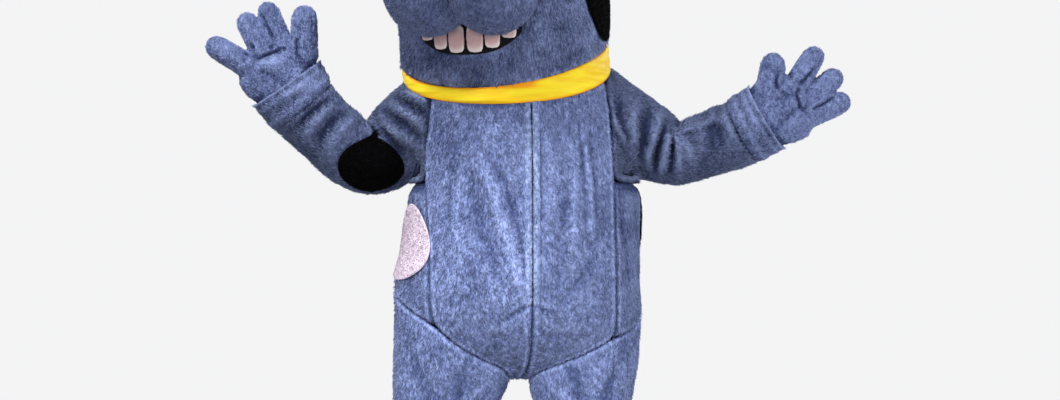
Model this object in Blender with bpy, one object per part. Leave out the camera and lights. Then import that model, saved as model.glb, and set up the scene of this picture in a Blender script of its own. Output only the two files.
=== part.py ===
"""Animal mascot costume as it is worn: plush body suit, gloves, neck band and big plush head.

Metres, +Z up, the front faces -Y and the wearer's right is at -X. The origin is at the base of the
neck, where the wearer's shoulders hold the suit up. Every cloth piece is a wall with an outer face
worked out from the sizes below and an inner face one cloth thickness behind it.
"""
import math
from collections import namedtuple

import bmesh
import bpy
from mathutils import Vector

# Cloth and foam
PLUSH = 0.003
SATIN = 0.002
FELT = 0.002
HEAD_WALL = 0.010
SEAM = 0.0003
ROUNDNESS = 2.2

# Heights of the body suit
UNDERARM = -0.205
BOWL_TOP = -0.500
CROTCH = -0.695
HIP_BACK = -0.430
REAR_TURN = -0.610
HEM = -1.350

# Angles round the body, from the middle of the front towards the wearer's left, in degrees
BACK_SEAM_RIGHT = -126.0
BACK_SEAM_LEFT = 132.0

# The head sits over the neck, turned towards the wearer's right
HEAD_X = -0.0275
HEAD_TURN = math.radians(-20.0)

Body = namedtuple("Body", "z middle half front back")
BODY = [
    Body(-0.800, 0.000, 0.308, 0.240, 0.235),
    Body(-0.612, -0.004, 0.311, 0.262, 0.240),
    Body(-0.537, 0.004, 0.314, 0.270, 0.240),
    Body(-0.452, 0.005, 0.310, 0.278, 0.230),
    Body(-0.400, 0.014, 0.301, 0.278, 0.220),
    Body(-0.325, 0.020, 0.295, 0.272, 0.214),
    Body(-0.200, 0.024, 0.288, 0.255, 0.216),
    Body(-0.100, 0.010, 0.272, 0.240, 0.224),
    Body(0.000, -0.010, 0.257, 0.222, 0.225),
    Body(0.060, -0.019, 0.250, 0.214, 0.226),
    Body(0.170, -0.024, 0.246, 0.200, 0.232),
]

# Where the lengthwise front seams lie, as x at each height
Seams = namedtuple("Seams", "z right middle left")
SEAMS = [
    Seams(-0.695, -0.0145, 0.014, 0.035),
    Seams(-0.677, -0.0180, 0.024, 0.045),
    Seams(-0.658, -0.0260, 0.031, 0.076),
    Seams(-0.638, -0.0660, 0.036, 0.126),
    Seams(-0.610, -0.1180, 0.040, 0.191),
    Seams(-0.582, -0.1560, 0.042, 0.242),
    Seams(-0.5465, -0.1945, 0.043, 0.246),
    Seams(-0.420, -0.2030, 0.044, 0.244),
    Seams(-0.300, -0.2090, 0.044, 0.242),
    Seams(-0.150, -0.2180, 0.043, 0.238),
    Seams(-0.050, -0.2060, 0.041, 0.231),
    Seams(0.080, -0.1990, 0.038, 0.214),
]
JUNCTION_RIGHT = -0.5465
JUNCTION_LEFT = -0.582
LOW_ROWS = [-0.582, -0.600, -0.619, -0.638, -0.658, -0.677, CROTCH]
BACK_LOW_ROWS = [-0.47, -0.51, -0.546, -0.574, -0.600, -0.619, -0.638, -0.658, -0.677, CROTCH]

# How finely the panels are divided
YOKE_ROWS = 5
TRUNK_ROWS = 8
FRONT_COLUMNS = 8
SIDE_COLUMNS = 4
BACK_COLUMNS = 12

# Soft drag folds of the body suit, each along a line on its front (face -1) or back (face 1)
Drag = namedtuple("Drag", "x_from z_from x_to z_to face height width")
DRAGS = [
    Drag(-0.170, -0.130, 0.005, -0.430, -1, -0.009, 0.028),
    Drag(-0.100, -0.100, 0.005, -0.350, -1, 0.006, 0.026),
    Drag(-0.190, -0.260, -0.010, -0.510, -1, 0.006, 0.030),
    Drag(0.215, -0.280, 0.085, -0.510, -1, -0.008, 0.028),
    Drag(-0.200, -0.160, 0.060, -0.330, 1, -0.008, 0.036),
    Drag(0.220, -0.200, -0.040, -0.400, 1, -0.008, 0.034),
]
SIDE_FADE = 0.10

# The leg seam over each hip: height at each share of the way from the front seam to the back seam
Hip = namedtuple("Hip", "share right left")
HIP = [
    Hip(0.0, JUNCTION_RIGHT, JUNCTION_LEFT),
    Hip(0.3, -0.501, -0.561),
    Hip(0.55, -0.458, -0.520),
    Hip(0.8, -0.433, -0.462),
    Hip(1.0, HIP_BACK, HIP_BACK),
]

# Sections of the sleeves and cuffs from the shoulder to the hem, at their middle points
Arm = namedtuple("Arm", "along x y z across deep")
ARM_RIGHT = [
    Arm(0, -0.205, 0.000, -0.060, 0.120, 0.135),
    Arm(1, -0.270, 0.004, -0.086, 0.108, 0.106),
    Arm(2, -0.302, 0.004, -0.122, 0.088, 0.092),
    Arm(3, -0.336, 0.000, -0.149, 0.086, 0.088),
    Arm(4, -0.373, -0.008, -0.147, 0.086, 0.086),
    Arm(5, -0.414, -0.020, -0.126, 0.085, 0.084),
    Arm(6, -0.467, -0.036, -0.076, 0.086, 0.082),
    Arm(7, -0.523, -0.052, -0.020, 0.088, 0.083),
    Arm(8, -0.562, -0.062, 0.037, 0.094, 0.087),
]
ARM_LEFT = [
    Arm(0, 0.232, 0.000, -0.060, 0.120, 0.135),
    Arm(1, 0.302, 0.004, -0.091, 0.105, 0.106),
    Arm(2, 0.345, 0.004, -0.113, 0.092, 0.092),
    Arm(3, 0.384, 0.000, -0.139, 0.076, 0.082),
    Arm(4, 0.427, -0.008, -0.132, 0.076, 0.080),
    Arm(5, 0.488, -0.024, -0.108, 0.082, 0.080),
    Arm(6, 0.527, -0.036, -0.095, 0.083, 0.080),
    Arm(7, 0.563, -0.048, -0.080, 0.083, 0.080),
    Arm(8, 0.620, -0.062, -0.047, 0.083, 0.083),
]
SLEEVE_END = 7
SLEEVE_ROWS = 21
SHOULDER_BLEND = 1.5
CUFF_ROWS = 2
CUFF_START = SLEEVE_END + 0.008
CUFF_SIDES = 24
CUFF_WALL = 0.005
CUFF_PROUD = 0.002
CUFF_ROLL = 0.002

# The main folds of a sleeve: where, how deep, how wide along it, and round which side
Fold = namedtuple("Fold", "along height width side spread slant")
FOLDS_RIGHT = [
    Fold(1.15, -0.012, 0.16, 250.0, 80.0, 0.25),
    Fold(1.70, 0.008, 0.20, 285.0, 80.0, 0.30),
    Fold(2.30, -0.012, 0.18, 350.0, 70.0, 0.20),
    Fold(5.20, -0.007, 0.16, 20.0, 75.0, -0.30),
    Fold(5.75, 0.006, 0.18, 300.0, 80.0, -0.35),
    Fold(6.35, -0.006, 0.15, 40.0, 80.0, 0.20),
]
FOLDS_LEFT = [
    Fold(1.30, -0.012, 0.18, 300.0, 80.0, 0.30),
    Fold(2.10, -0.016, 0.20, 250.0, 90.0, 0.25),
    Fold(2.60, 0.010, 0.20, 230.0, 80.0, 0.25),
    Fold(3.15, -0.014, 0.18, 240.0, 85.0, 0.15),
    Fold(5.10, -0.007, 0.20, 10.0, 70.0, 0.30),
    Fold(5.90, 0.007, 0.22, 300.0, 80.0, 0.30),
    Fold(6.45, -0.010, 0.22, 20.0, 80.0, -0.25),
]

# Sections of the legs below the leg seam
Leg = namedtuple("Leg", "z x across deep")
LEG_RIGHT = [
    Leg(HEM, -0.180, 0.126, 0.128),
    Leg(-1.150, -0.182, 0.122, 0.124),
    Leg(-0.950, -0.182, 0.129, 0.134),
    Leg(-0.780, -0.180, 0.137, 0.146),
    Leg(-0.600, -0.172, 0.143, 0.152),
    Leg(-0.400, -0.165, 0.140, 0.150),
]
LEG_LEFT = [
    Leg(HEM, 0.176, 0.124, 0.128),
    Leg(-1.150, 0.174, 0.118, 0.124),
    Leg(-0.950, 0.172, 0.121, 0.134),
    Leg(-0.780, 0.169, 0.125, 0.146),
    Leg(-0.600, 0.172, 0.141, 0.152),
    Leg(-0.400, 0.165, 0.150, 0.150),
]
LEG_BLEND_END = -0.800
LEG_BLEND_ROWS = 5
LEG_ROWS = 6

# Sections of a glove's palm along the hand, and its digits from root to tip
Palm = namedtuple("Palm", "x y z across deep")
Digit = namedtuple("Digit", "name root_x root_y root_z tip_x tip_y tip_z root tip")
PALM_RIGHT = [
    Palm(-0.532, -0.056, -0.004, 0.0835, 0.066),
    Palm(-0.562, -0.062, 0.037, 0.0870, 0.062),
    Palm(-0.581, -0.070, 0.063, 0.0960, 0.054),
    Palm(-0.597, -0.078, 0.087, 0.0960, 0.048),
    Palm(-0.612, -0.082, 0.109, 0.0760, 0.040),
    Palm(-0.619, -0.083, 0.121, 0.0420, 0.028),
]
DIGITS_RIGHT = [
    Digit("finger_1", -0.652, -0.083, 0.078, -0.730, -0.088, 0.124, 0.032, 0.0275),
    Digit("finger_2", -0.618, -0.076, 0.110, -0.657, -0.070, 0.184, 0.030, 0.0270),
    Digit("finger_3", -0.575, -0.076, 0.132, -0.606, -0.070, 0.211, 0.030, 0.0270),
    Digit("thumb", -0.518, -0.088, 0.100, -0.515, -0.096, 0.194, 0.036, 0.0310),
]
PALM_LEFT = [
    Palm(0.577, -0.054, -0.073, 0.0764, 0.064),
    Palm(0.620, -0.062, -0.047, 0.0789, 0.060),
    Palm(0.646, -0.070, -0.031, 0.0900, 0.054),
    Palm(0.672, -0.078, -0.015, 0.0930, 0.048),
    Palm(0.697, -0.082, 0.000, 0.0760, 0.040),
    Palm(0.709, -0.083, 0.008, 0.0420, 0.028),
]
DIGITS_LEFT = [
    Digit("thumb", 0.624, -0.088, 0.008, 0.632, -0.096, 0.080, 0.036, 0.0300),
    Digit("finger_1", 0.688, -0.078, 0.026, 0.734, -0.072, 0.101, 0.031, 0.0270),
    Digit("finger_2", 0.714, -0.076, -0.010, 0.781, -0.072, 0.047, 0.030, 0.0270),
    Digit("finger_3", 0.712, -0.083, -0.046, 0.795, -0.086, -0.012, 0.032, 0.0275),
]
HAND_SIDES = 12
GLOVE_WALL = 0.003
GLOVE_MOUTH = 0.02

# Sections of the head shell, in its own turned axes
Skull = namedtuple("Skull", "z half front back")
SKULL = [
    Skull(0.000, 0.232, 0.216, 0.222),
    Skull(0.060, 0.246, 0.240, 0.234),
    Skull(0.120, 0.253, 0.252, 0.242),
    Skull(0.200, 0.257, 0.256, 0.250),
    Skull(0.300, 0.254, 0.250, 0.254),
    Skull(0.400, 0.236, 0.232, 0.242),
    Skull(0.480, 0.202, 0.198, 0.210),
    Skull(0.540, 0.155, 0.152, 0.162),
    Skull(0.580, 0.095, 0.093, 0.100),
    Skull(0.596, 0.036, 0.035, 0.038),
]
HEAD_SKIRT_TOP = 0.20
HEAD_LEVELS = [0.23, 0.29, 0.35, 0.41, 0.46, 0.50, 0.54, 0.565, 0.585, 0.596]
HEAD_SIDES = 28

# Foam forms and trim of the head, in its own axes: across, towards its back, up. The place across is
# for its left side
Form = namedtuple("Form", "middle radii")
PAD = Form((0.080, -0.285, 0.246), (0.106, 0.135, 0.108))
NOSE = Form((0.0, -0.372, 0.340), (0.052, 0.042, 0.036))
EAR = Form((0.180, 0.020, 0.545), (0.076, 0.026, 0.076))
PIECE_CLEAR = 0.0005
MOUTH_HALF = math.radians(29.0)
MOUTH_CENTRE_Z = 0.094
MOUTH_CORNER_Z = 0.146
MOUTH_TOP_Z = 0.166
MOUTH_CURVE = 2.6
MOUTH_COLUMNS = 16
TEETH = 6
TOOTH_MARGIN = math.radians(3.0)
TOOTH_THICK = 0.003

# Pieces laid on the head or the suit: middle and half size, each as an angle and a height
Laid = namedtuple("Laid", "angle z half_angle half_height")
EYE = Laid(0.30, 0.425, 0.17, 0.052)
PUPIL = Laid(0.27, 0.420, 0.065, 0.022)
EYE_DOME = 0.010
PUPIL_OUT = 0.0131
PATCH_HEAD = Laid(math.radians(95), 0.290, 0.50, 0.150)
PATCH_HIP = Laid(math.radians(-68), -0.352, 0.40, 0.094)
PATCH_FLANK = Laid(math.radians(111), -0.300, 0.33, 0.088)
LAID_ON = 0.0007
PATCH_CLEAR = 0.0020
FLANK_CLEAR = 0.0009

# The elbow patch: middle and half size, each as a place along the right sleeve and an angle round it
PATCH_ELBOW = Laid(3.65, math.radians(94), 1.65, 1.02)
ELBOW_CLEAR = 0.0039

# The zip in the middle seam
ZIP_TOP = -0.009
ZIP_FOOT = -0.496
ZIP_ROWS = 12
TAPE_HALF = 0.0030
TAPE_THICK = 0.0015
WELT_WIDTH = 0.013
WELT_HEIGHT = 0.005
SLIDER = (0.0070, 0.0060, 0.0022)
SLIDER_DROP = 0.007

# The neck band lies in a slant round the neck, low in front
BAND_SIDES = 32
BAND_LOW = (0.0625, 0.085, 0.0125)
BAND_HIGH = (0.1125, 0.090, 0.0275)
NECKLINE_LIFT = 0.003
NECKLINE_FRONT_LIFT = 0.010
HEAD_LIFT = 0.026
BAND_SEAT = 0.0019
BAND_STANDOFF = 0.0095
ZIP_LIFT_ANGLE = 0.25
SHOULDER_LIFT = (0.42, 0.62)
BAND_OVER_HEAD = 0.0019


def read(table, column, at):
    """Value of a column at a place along a table's first column, on a smooth curve through its rows."""
    rows = sorted(table)
    keys = [row[0] for row in rows]
    values = [getattr(row, column) for row in rows]
    at = min(max(at, keys[0]), keys[-1])
    last = len(rows) - 1

    def slope(i):
        before, after = max(i - 1, 0), min(i + 1, last)
        return (values[after] - values[before]) / (keys[after] - keys[before])

    i = min(sum(key <= at for key in keys) - 1, last - 1)
    step = keys[i + 1] - keys[i]
    t = (at - keys[i]) / step
    start = (1 + 2 * t) * (1 - t) ** 2 * values[i] + t * (1 - t) ** 2 * step * slope(i)
    end = t * t * (3 - 2 * t) * values[i + 1] + t * t * (t - 1) * step * slope(i + 1)
    return start + end


def power(value, exponent):
    """A signed power, for rounded-square sections."""
    return math.copysign(abs(value) ** exponent, value)


def ease(t):
    t = min(max(t, 0.0), 1.0)
    return t * t * (3 - 2 * t)


def material(name, colour, roughness, metallic=0.0):
    mat = bpy.data.materials.new(name)
    mat.use_nodes = True
    shader = mat.node_tree.nodes["Principled BSDF"]
    shader.inputs["Base Color"].default_value = (*colour, 1.0)
    shader.inputs["Roughness"].default_value = roughness
    shader.inputs["Metallic"].default_value = metallic
    return mat


def add(name, mesh, mat, group):
    ob = bpy.data.objects.new(name, mesh)
    mesh.materials.append(mat)
    mesh.shade_smooth()
    mesh.set_sharp_from_angle(angle=math.radians(40))
    group.objects.link(ob)
    return ob


def middle_of(row):
    return sum(row, Vector()) / len(row)


def normals_of(rows):
    """Outward direction at each point of a tube that is given as rings of points."""
    result, outward = [], 0.0
    for r, row in enumerate(rows):
        before, after = rows[max(r - 1, 0)], rows[min(r + 1, len(rows) - 1)]
        middle = middle_of(row)
        line = []
        for c, point in enumerate(row):
            normal = (before[c] - after[c]).cross(row[c - 1] - row[(c + 1) % len(row)]).normalized()
            outward += normal.dot(point - middle)
            line.append(normal)
        result.append(line)
    return result if outward > 0 else [[-n for n in line] for line in result]


def solid_mesh(name, outer, inner, ring=False, closed_end=False):
    """One closed body between an outer and an inner grid of points."""
    bm = bmesh.new()
    height, width = len(outer), len(outer[0])
    faces = [[[bm.verts.new(p) for p in row] for row in grid] for grid in (outer, inner)]
    columns = width if ring else width - 1
    for grid in faces:
        for r in range(height - 1):
            for c in range(columns):
                n = (c + 1) % width
                bm.faces.new((grid[r][c], grid[r][n], grid[r + 1][n], grid[r + 1][c]))
    for r in ([0] if closed_end else [0, height - 1]):
        for c in range(columns):
            n = (c + 1) % width
            bm.faces.new((faces[0][r][c], faces[0][r][n], faces[1][r][n], faces[1][r][c]))
    if closed_end:
        bm.faces.new(faces[0][-1])
        bm.faces.new(faces[1][-1])
    if not ring:
        for c in (0, width - 1):
            for r in range(height - 1):
                bm.faces.new((faces[0][r][c], faces[0][r + 1][c], faces[1][r + 1][c], faces[1][r][c]))
    bmesh.ops.recalc_face_normals(bm, faces=bm.faces)
    mesh = bpy.data.meshes.new(name)
    bm.to_mesh(mesh)
    bm.free()
    return mesh


def solid(name, outer, inner, mat, group, ring=False, closed_end=False):
    return add(name, solid_mesh(name, outer, inner, ring, closed_end), mat, group)


def behind(rows, normals, thickness):
    """The inner grid of a wall."""
    return [[p - n * thickness for p, n in zip(row, facing)] for row, facing in zip(rows, normals)]


def front_angle(x, z):
    """Angle round the body at which its front has this x."""
    share = (x - read(BODY, "middle", z)) / read(BODY, "half", z)
    return math.asin(power(min(max(share, -1.0), 1.0), ROUNDNESS / 2))


def drag(point):
    """How far the drag folds push the cloth out or in at a point of the body suit."""
    total = 0.0
    for fold in DRAGS:
        line = Vector((fold.x_to - fold.x_from, fold.z_to - fold.z_from))
        away = Vector((point.x - fold.x_from, point.z - fold.z_from))
        share = away.dot(line) / line.length_squared
        side = min(max(point.y * fold.face / SIDE_FADE, 0.0), 1.0)
        if 0.0 < share < 1.0 and side > 0.0:
            across = away.cross(line) / line.length / fold.width
            total += fold.height * math.exp(-across * across) * math.sin(math.pi * share) * ease(side)
    return total


def body_point(angle, z):
    """Point on the body suit. Below the belly its depth closes like a bowl down to the crotch."""
    drop = min(max((BOWL_TOP - z) / (BOWL_TOP - CROTCH), 0.0), 1.0)
    close = math.sqrt(1.0 - drop * drop)
    side, front = math.sin(angle), math.cos(angle)
    middle = read(BODY, "middle", z)
    x = middle + read(BODY, "half", z) * power(side, 2 / ROUNDNESS)
    depth = read(BODY, "front" if front > 0 else "back", z) * close
    point = Vector((x, -depth * power(front, 2 / ROUNDNESS), z))
    return point + Vector((x - middle, point.y, 0)).normalized() * drag(point)


def body_normal(angle, z):
    if z <= CROTCH:
        return Vector((0, 0, -1))
    step = 0.002
    above, below = z + step / 2, max(z - step / 2, CROTCH)
    turn = body_point(angle + step, z) - body_point(angle - step, z)
    climb = body_point(angle, above) - body_point(angle, below)
    return turn.cross(climb).normalized()


def body(angle, z, out=0.0):
    """Point on the suit, moved out from its cloth."""
    return body_point(angle, z) + body_normal(angle, z) * out


def tilt(sizes, angle):
    """Height of a slanting line round the neck."""
    middle, slope, lean = sizes
    return middle - slope * math.cos(angle) + lean * math.sin(angle)


def neckline(angle):
    return tilt(BAND_LOW, angle) + NECKLINE_LIFT + NECKLINE_FRONT_LIFT * max(math.cos(angle), 0.0) ** 2


def seam_angle(side, z):
    return front_angle(read(SEAMS, side, z), z)


def back_seam(side):
    return math.radians(BACK_SEAM_RIGHT if side == "right" else BACK_SEAM_LEFT)


def yoke_row(angle, share):
    """Height at a share of the way down from the neckline to the underarm."""
    top = neckline(angle)
    return top + (UNDERARM - top) * share


def raglan(side_angle, share):
    """Angle and height on a raglan seam whose angle depends on the height."""
    z = yoke_row(side_angle(0.0), share)
    for _ in range(4):
        z = yoke_row(side_angle(z), share)
    return side_angle(z), z


def gap_angle(z):
    """Half of a seam's gap as an angle round the body."""
    return SEAM / 2 / read(BODY, "front", z)


def front_rows(side):
    """Rows of a front panel, as pairs of (edge angle, height) at the middle seam and the outer seam."""
    junction = JUNCTION_RIGHT if side == "right" else JUNCTION_LEFT
    rows = []
    for j in range(YOKE_ROWS):
        share = j / YOKE_ROWS
        rows.append((raglan(lambda z: seam_angle("middle", z), share),
                     raglan(lambda z: seam_angle(side, z), share)))
    heights = [UNDERARM + (junction - UNDERARM) * j / TRUNK_ROWS for j in range(TRUNK_ROWS + 1)]
    heights += [z for z in LOW_ROWS if z < junction - 0.001]
    for z in heights:
        rows.append(((seam_angle("middle", z), z), (seam_angle(side, z), z)))
    return rows


def front_panel(side, mat, group):
    sign = -1 if side == "right" else 1
    outer, normals = [], []
    for (a0, z0), (a1, z1) in front_rows(side):
        a0 += sign * gap_angle(z0)
        a1 -= sign * gap_angle(z1)
        line, facing = [], []
        for c in range(FRONT_COLUMNS + 1):
            t = c / FRONT_COLUMNS
            angle, z = a0 + (a1 - a0) * t, z0 + (z1 - z0) * t
            if z > UNDERARM:
                share = (neckline(a0) - z0) / (neckline(a0) - UNDERARM)
                z = yoke_row(angle, share)
            line.append(body_point(angle, z))
            facing.append(body_normal(angle, z))
        if z0 == CROTCH:
            line = [p - Vector((0, SEAM / 2, 0)) for p in line]
        outer.append(line)
        normals.append(facing)
    return solid("front_" + side, outer, behind(outer, normals, PLUSH), mat, group)


def side_columns(side):
    """Angles of the side panel's columns at a height, front to back."""
    back = back_seam(side)

    def at(share, z):
        front = seam_angle(side, z)
        return front + (back - front) * share
    return at


def side_panel(side, mat, group):
    sign = -1 if side == "right" else 1
    at = side_columns(side)
    outer, normals = [], []
    for r in range(TRUNK_ROWS + 1):
        line, facing = [], []
        for c in range(SIDE_COLUMNS + 1):
            share = c / SIDE_COLUMNS
            z = UNDERARM + (read(HIP, side, share) - UNDERARM) * r / TRUNK_ROWS
            angle = at(share, z)
            if c == 0:
                angle += sign * gap_angle(z)
            if c == SIDE_COLUMNS:
                angle -= sign * gap_angle(z)
            line.append(body_point(angle, z))
            facing.append(body_normal(angle, z))
        outer.append(line)
        normals.append(facing)
    return solid("side_" + side, outer, behind(outer, normals, PLUSH), mat, group)


def back_edge(side, z):
    """Angle of the back panel's edge: its side seam, then the leg seam down to the crotch."""
    seam = back_seam(side)
    if z > HIP_BACK:
        return seam
    half_turn = -math.pi if side == "right" else math.pi
    low = half_turn - seam_angle(side, min(z, REAR_TURN))
    share = min((HIP_BACK - z) / (HIP_BACK - REAR_TURN), 1.0)
    return seam + (low - seam) * share


def back_panel(mat, group):
    outer, normals = [], []
    yoke = [j / YOKE_ROWS for j in range(YOKE_ROWS)]
    heights = [UNDERARM + (HIP_BACK - UNDERARM) * j / TRUNK_ROWS for j in range(TRUNK_ROWS + 1)]
    for share, z in [(s, None) for s in yoke] + [(None, z) for z in heights + BACK_LOW_ROWS]:
        level = z if z is not None else 0.0
        left = back_edge("left", level) + gap_angle(level)
        right = back_edge("right", level) - gap_angle(level) + 2 * math.pi
        line, facing = [], []
        for c in range(BACK_COLUMNS + 1):
            angle = left + (right - left) * c / BACK_COLUMNS
            height = yoke_row(angle, share) if z is None else z
            line.append(body_point(angle, height))
            facing.append(body_normal(angle, height))
        if z == CROTCH:
            line = [p + Vector((0, SEAM / 2, 0)) for p in line]
        outer.append(line)
        normals.append(facing)
    return solid("back", outer, behind(outer, normals, PLUSH), mat, group)


def beside(points, normals, distance):
    """Points of a closed seam moved along the cloth, away from the panels that it is sewn to."""
    result = []
    for i, (p, n) in enumerate(zip(points, normals)):
        along = points[(i + 1) % len(points)] - points[i - 1]
        result.append(p + n.cross(along).normalized() * distance)
    return result


def armhole(side):
    """Angles and heights round the raglan seam: front edge down, underarm, back edge up, neckline."""
    back = back_seam(side)
    at = side_columns(side)
    places = [raglan(lambda z: seam_angle(side, z), j / YOKE_ROWS) for j in range(YOKE_ROWS)]
    places += [(at(c / SIDE_COLUMNS, UNDERARM), UNDERARM) for c in range(SIDE_COLUMNS + 1)]
    places += [(back, yoke_row(back, j / YOKE_ROWS)) for j in range(YOKE_ROWS - 1, -1, -1)]
    first = places[0][0]
    for c in range(1, SIDE_COLUMNS):
        angle = back + (first - back) * c / SIDE_COLUMNS
        places.append((angle, neckline(angle)))
    return places


def arm_frame(table, along):
    """Middle point, axis across and axis in depth of a sleeve at a place along it."""
    def middle(s):
        return Vector((read(table, "x", s), read(table, "y", s), read(table, "z", s)))
    step = 0.05
    last = table[-1].along
    ahead = middle(min(along + step, last)) - middle(max(along - step, 0))
    depth = Vector((0, -1, 0))
    across = depth.cross(ahead).normalized()
    if across.z < 0:
        across = -across
    depth = ahead.cross(across).normalized()
    return middle(along), across, depth if depth.y < 0 else -depth


def arm_point(table, folds, along, angle, out=0.0):
    """Point on a sleeve: angle 0 is its upper side, a quarter turn is its front."""
    middle, across, depth = arm_frame(table, along)
    swell = out
    for fold in folds:
        off = math.remainder(angle - math.radians(fold.side), 2 * math.pi) / math.radians(fold.spread)
        if abs(off) < 1:
            place = (along - fold.along - fold.slant * off) / fold.width
            swell += fold.height * math.exp(-place * place) * (1 - off * off) ** 2
    wide = read(table, "across", along) + swell
    deep = read(table, "deep", along) + swell
    return middle + across * math.cos(angle) * wide + depth * math.sin(angle) * deep


def arm_angles():
    """Angles of a sleeve's columns, in the order of the raglan seam's points."""
    front = [math.radians(48 + 84 * j / YOKE_ROWS) for j in range(YOKE_ROWS + 1)]
    under = [math.radians(132 + 96 * c / SIDE_COLUMNS) for c in range(1, SIDE_COLUMNS)]
    back = [math.radians(228 + 84 * j / YOKE_ROWS) for j in range(YOKE_ROWS + 1)]
    top = [math.radians(312 + 96 * c / SIDE_COLUMNS) for c in range(1, SIDE_COLUMNS)]
    return front + under + back + top


def sleeve(side, table, folds, mat, group):
    places = armhole(side)
    seam = [body_point(*place) for place in places]
    facing = [body_normal(*place) for place in places]
    seam = beside(seam, facing, -SEAM if side == "right" else SEAM)
    angles = arm_angles()
    rows = [seam]
    for r in range(1, SLEEVE_ROWS + 1):
        along = SLEEVE_END * (r / SLEEVE_ROWS) ** 1.1
        blend = ease(along / SHOULDER_BLEND)
        line = []
        for start, angle in zip(seam, angles):
            line.append(start.lerp(arm_point(table, folds, along, angle), blend))
        rows.append(line)
    normals = normals_of(rows)
    normals[0] = facing
    normals[-1] = [(p - middle_of(rows[-1])).normalized() for p in rows[-1]]
    return solid("sleeve_" + side, rows, behind(rows, normals, PLUSH), mat, group, ring=True)


def cuff(side, table, mat, group):
    """Turned-back sleeve end: two layers of plush, standing a little proud of the sleeve."""
    last = table[-1].along
    rows, inner = [], []
    for r in range(CUFF_ROWS + 1):
        along = CUFF_START + (last - CUFF_START) * r / CUFF_ROWS
        proud = CUFF_PROUD + CUFF_ROLL * math.sin(math.pi * r / CUFF_ROWS)
        turns = [2 * math.pi * c / CUFF_SIDES for c in range(CUFF_SIDES)]
        rows.append([arm_point(table, [], along, a, proud) for a in turns])
        inner.append([arm_point(table, [], along, a, CUFF_PROUD - CUFF_WALL) for a in turns])
    return solid("cuff_" + side, rows, inner, mat, group, ring=True)


def leg_seam(side):
    """Angles and heights round the leg seam: front from the hip to the crotch, back up, over the hip."""
    junction = JUNCTION_RIGHT if side == "right" else JUNCTION_LEFT
    half_turn = -math.pi if side == "right" else math.pi
    places = [(seam_angle(side, junction), junction)]
    places += [(seam_angle(side, z), z) for z in LOW_ROWS if z < junction - 0.001]
    for z in BACK_LOW_ROWS[-2::-1] + [HIP_BACK]:
        places.append((back_edge(side, z), z))
    at = side_columns(side)
    for c in range(SIDE_COLUMNS - 1, 0, -1):
        share = c / SIDE_COLUMNS
        z = read(HIP, side, share)
        places.append((at(share, z), z))
    return places


def leg(side, table, mat, group):
    places = leg_seam(side)
    facing = [body_normal(*place) for place in places]
    shift = -SEAM if side == "right" else SEAM
    seam = beside([body_point(*place) for place in places], facing, shift)
    middle = read(table, "x", LEG_BLEND_END)
    turns = [math.atan2(p.y, p.x - middle) for p in seam]

    def ring_point(z, turn):
        return Vector((read(table, "x", z) + read(table, "across", z) * math.cos(turn),
                       read(table, "deep", z) * math.sin(turn), z))
    rows = [seam]
    for r in range(1, LEG_BLEND_ROWS + 1):
        t = r / LEG_BLEND_ROWS
        line = []
        for start, turn in zip(seam, turns):
            z = start.z + (LEG_BLEND_END - start.z) * t
            target = ring_point(z, turn)
            line.append(Vector((start.x, start.y, z)).lerp(target, ease(t * 1.15)))
        rows.append(line)
    for r in range(1, LEG_ROWS + 1):
        z = LEG_BLEND_END + (HEM - LEG_BLEND_END) * r / LEG_ROWS
        rows.append([ring_point(z, turn) for turn in turns])
    normals = normals_of(rows)
    normals[0] = facing
    return solid("leg_" + side, rows, behind(rows, normals, PLUSH), mat, group, ring=True)


def head_place(x, y, z):
    """A point in the head's own axes as a point of the part."""
    c, s = math.cos(HEAD_TURN), math.sin(HEAD_TURN)
    return Vector((HEAD_X + x * c - y * s, x * s + y * c, z))


def head_point(angle, z):
    side, front = math.sin(angle), math.cos(angle)
    depth = read(SKULL, "front" if front > 0 else "back", z)
    return head_place(read(SKULL, "half", z) * power(side, 2 / ROUNDNESS),
                      -depth * power(front, 2 / ROUNDNESS), z)


def head(angle, z, out=0.0):
    """Point on the head, at an angle in its own axes, moved out from its cloth."""
    step = 0.004
    turn = head_point(angle + step, z) - head_point(angle - step, z)
    climb = head_point(angle, min(z + step, SKULL[-1].z)) - head_point(angle, z - step)
    return head_point(angle, z) + turn.cross(climb).normalized() * out


def head_edge(angle):
    """Height of the head's lower edge, which follows the neck band."""
    return tilt(BAND_LOW, angle + HEAD_TURN) + HEAD_LIFT


def head_rows(out):
    turns = [2 * math.pi * c / HEAD_SIDES for c in range(HEAD_SIDES)]
    low = [[(a, head_edge(a) + (HEAD_SKIRT_TOP - head_edge(a)) * share) for a in turns]
           for share in (0.0, 0.33, 0.67)]
    high = [[(a, z) for a in turns] for z in HEAD_LEVELS]
    return [[head(a, z, out) for a, z in row] for row in low + high]


def closed_form(name, rows):
    """A ring of rows closed at both ends, as a mesh."""
    bm = bmesh.new()
    verts = [[bm.verts.new(p) for p in row] for row in rows]
    width = len(rows[0])
    for r in range(len(rows) - 1):
        for c in range(width):
            n = (c + 1) % width
            bm.faces.new((verts[r][c], verts[r][n], verts[r + 1][n], verts[r + 1][c]))
    bm.faces.new(verts[0])
    bm.faces.new(verts[-1])
    bmesh.ops.recalc_face_normals(bm, faces=bm.faces)
    mesh = bpy.data.meshes.new(name)
    bm.to_mesh(mesh)
    bm.free()
    return mesh


def cutter(name, mesh, cutters):
    ob = bpy.data.objects.new(name, mesh)
    ob.hide_render = True
    ob.display_type = "WIRE"
    cutters.objects.link(ob)
    return ob


def combine(ob, other, operation):
    step = ob.modifiers.new(operation.lower() + "_" + other.name, "BOOLEAN")
    step.operation = operation
    step.object = other


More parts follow.
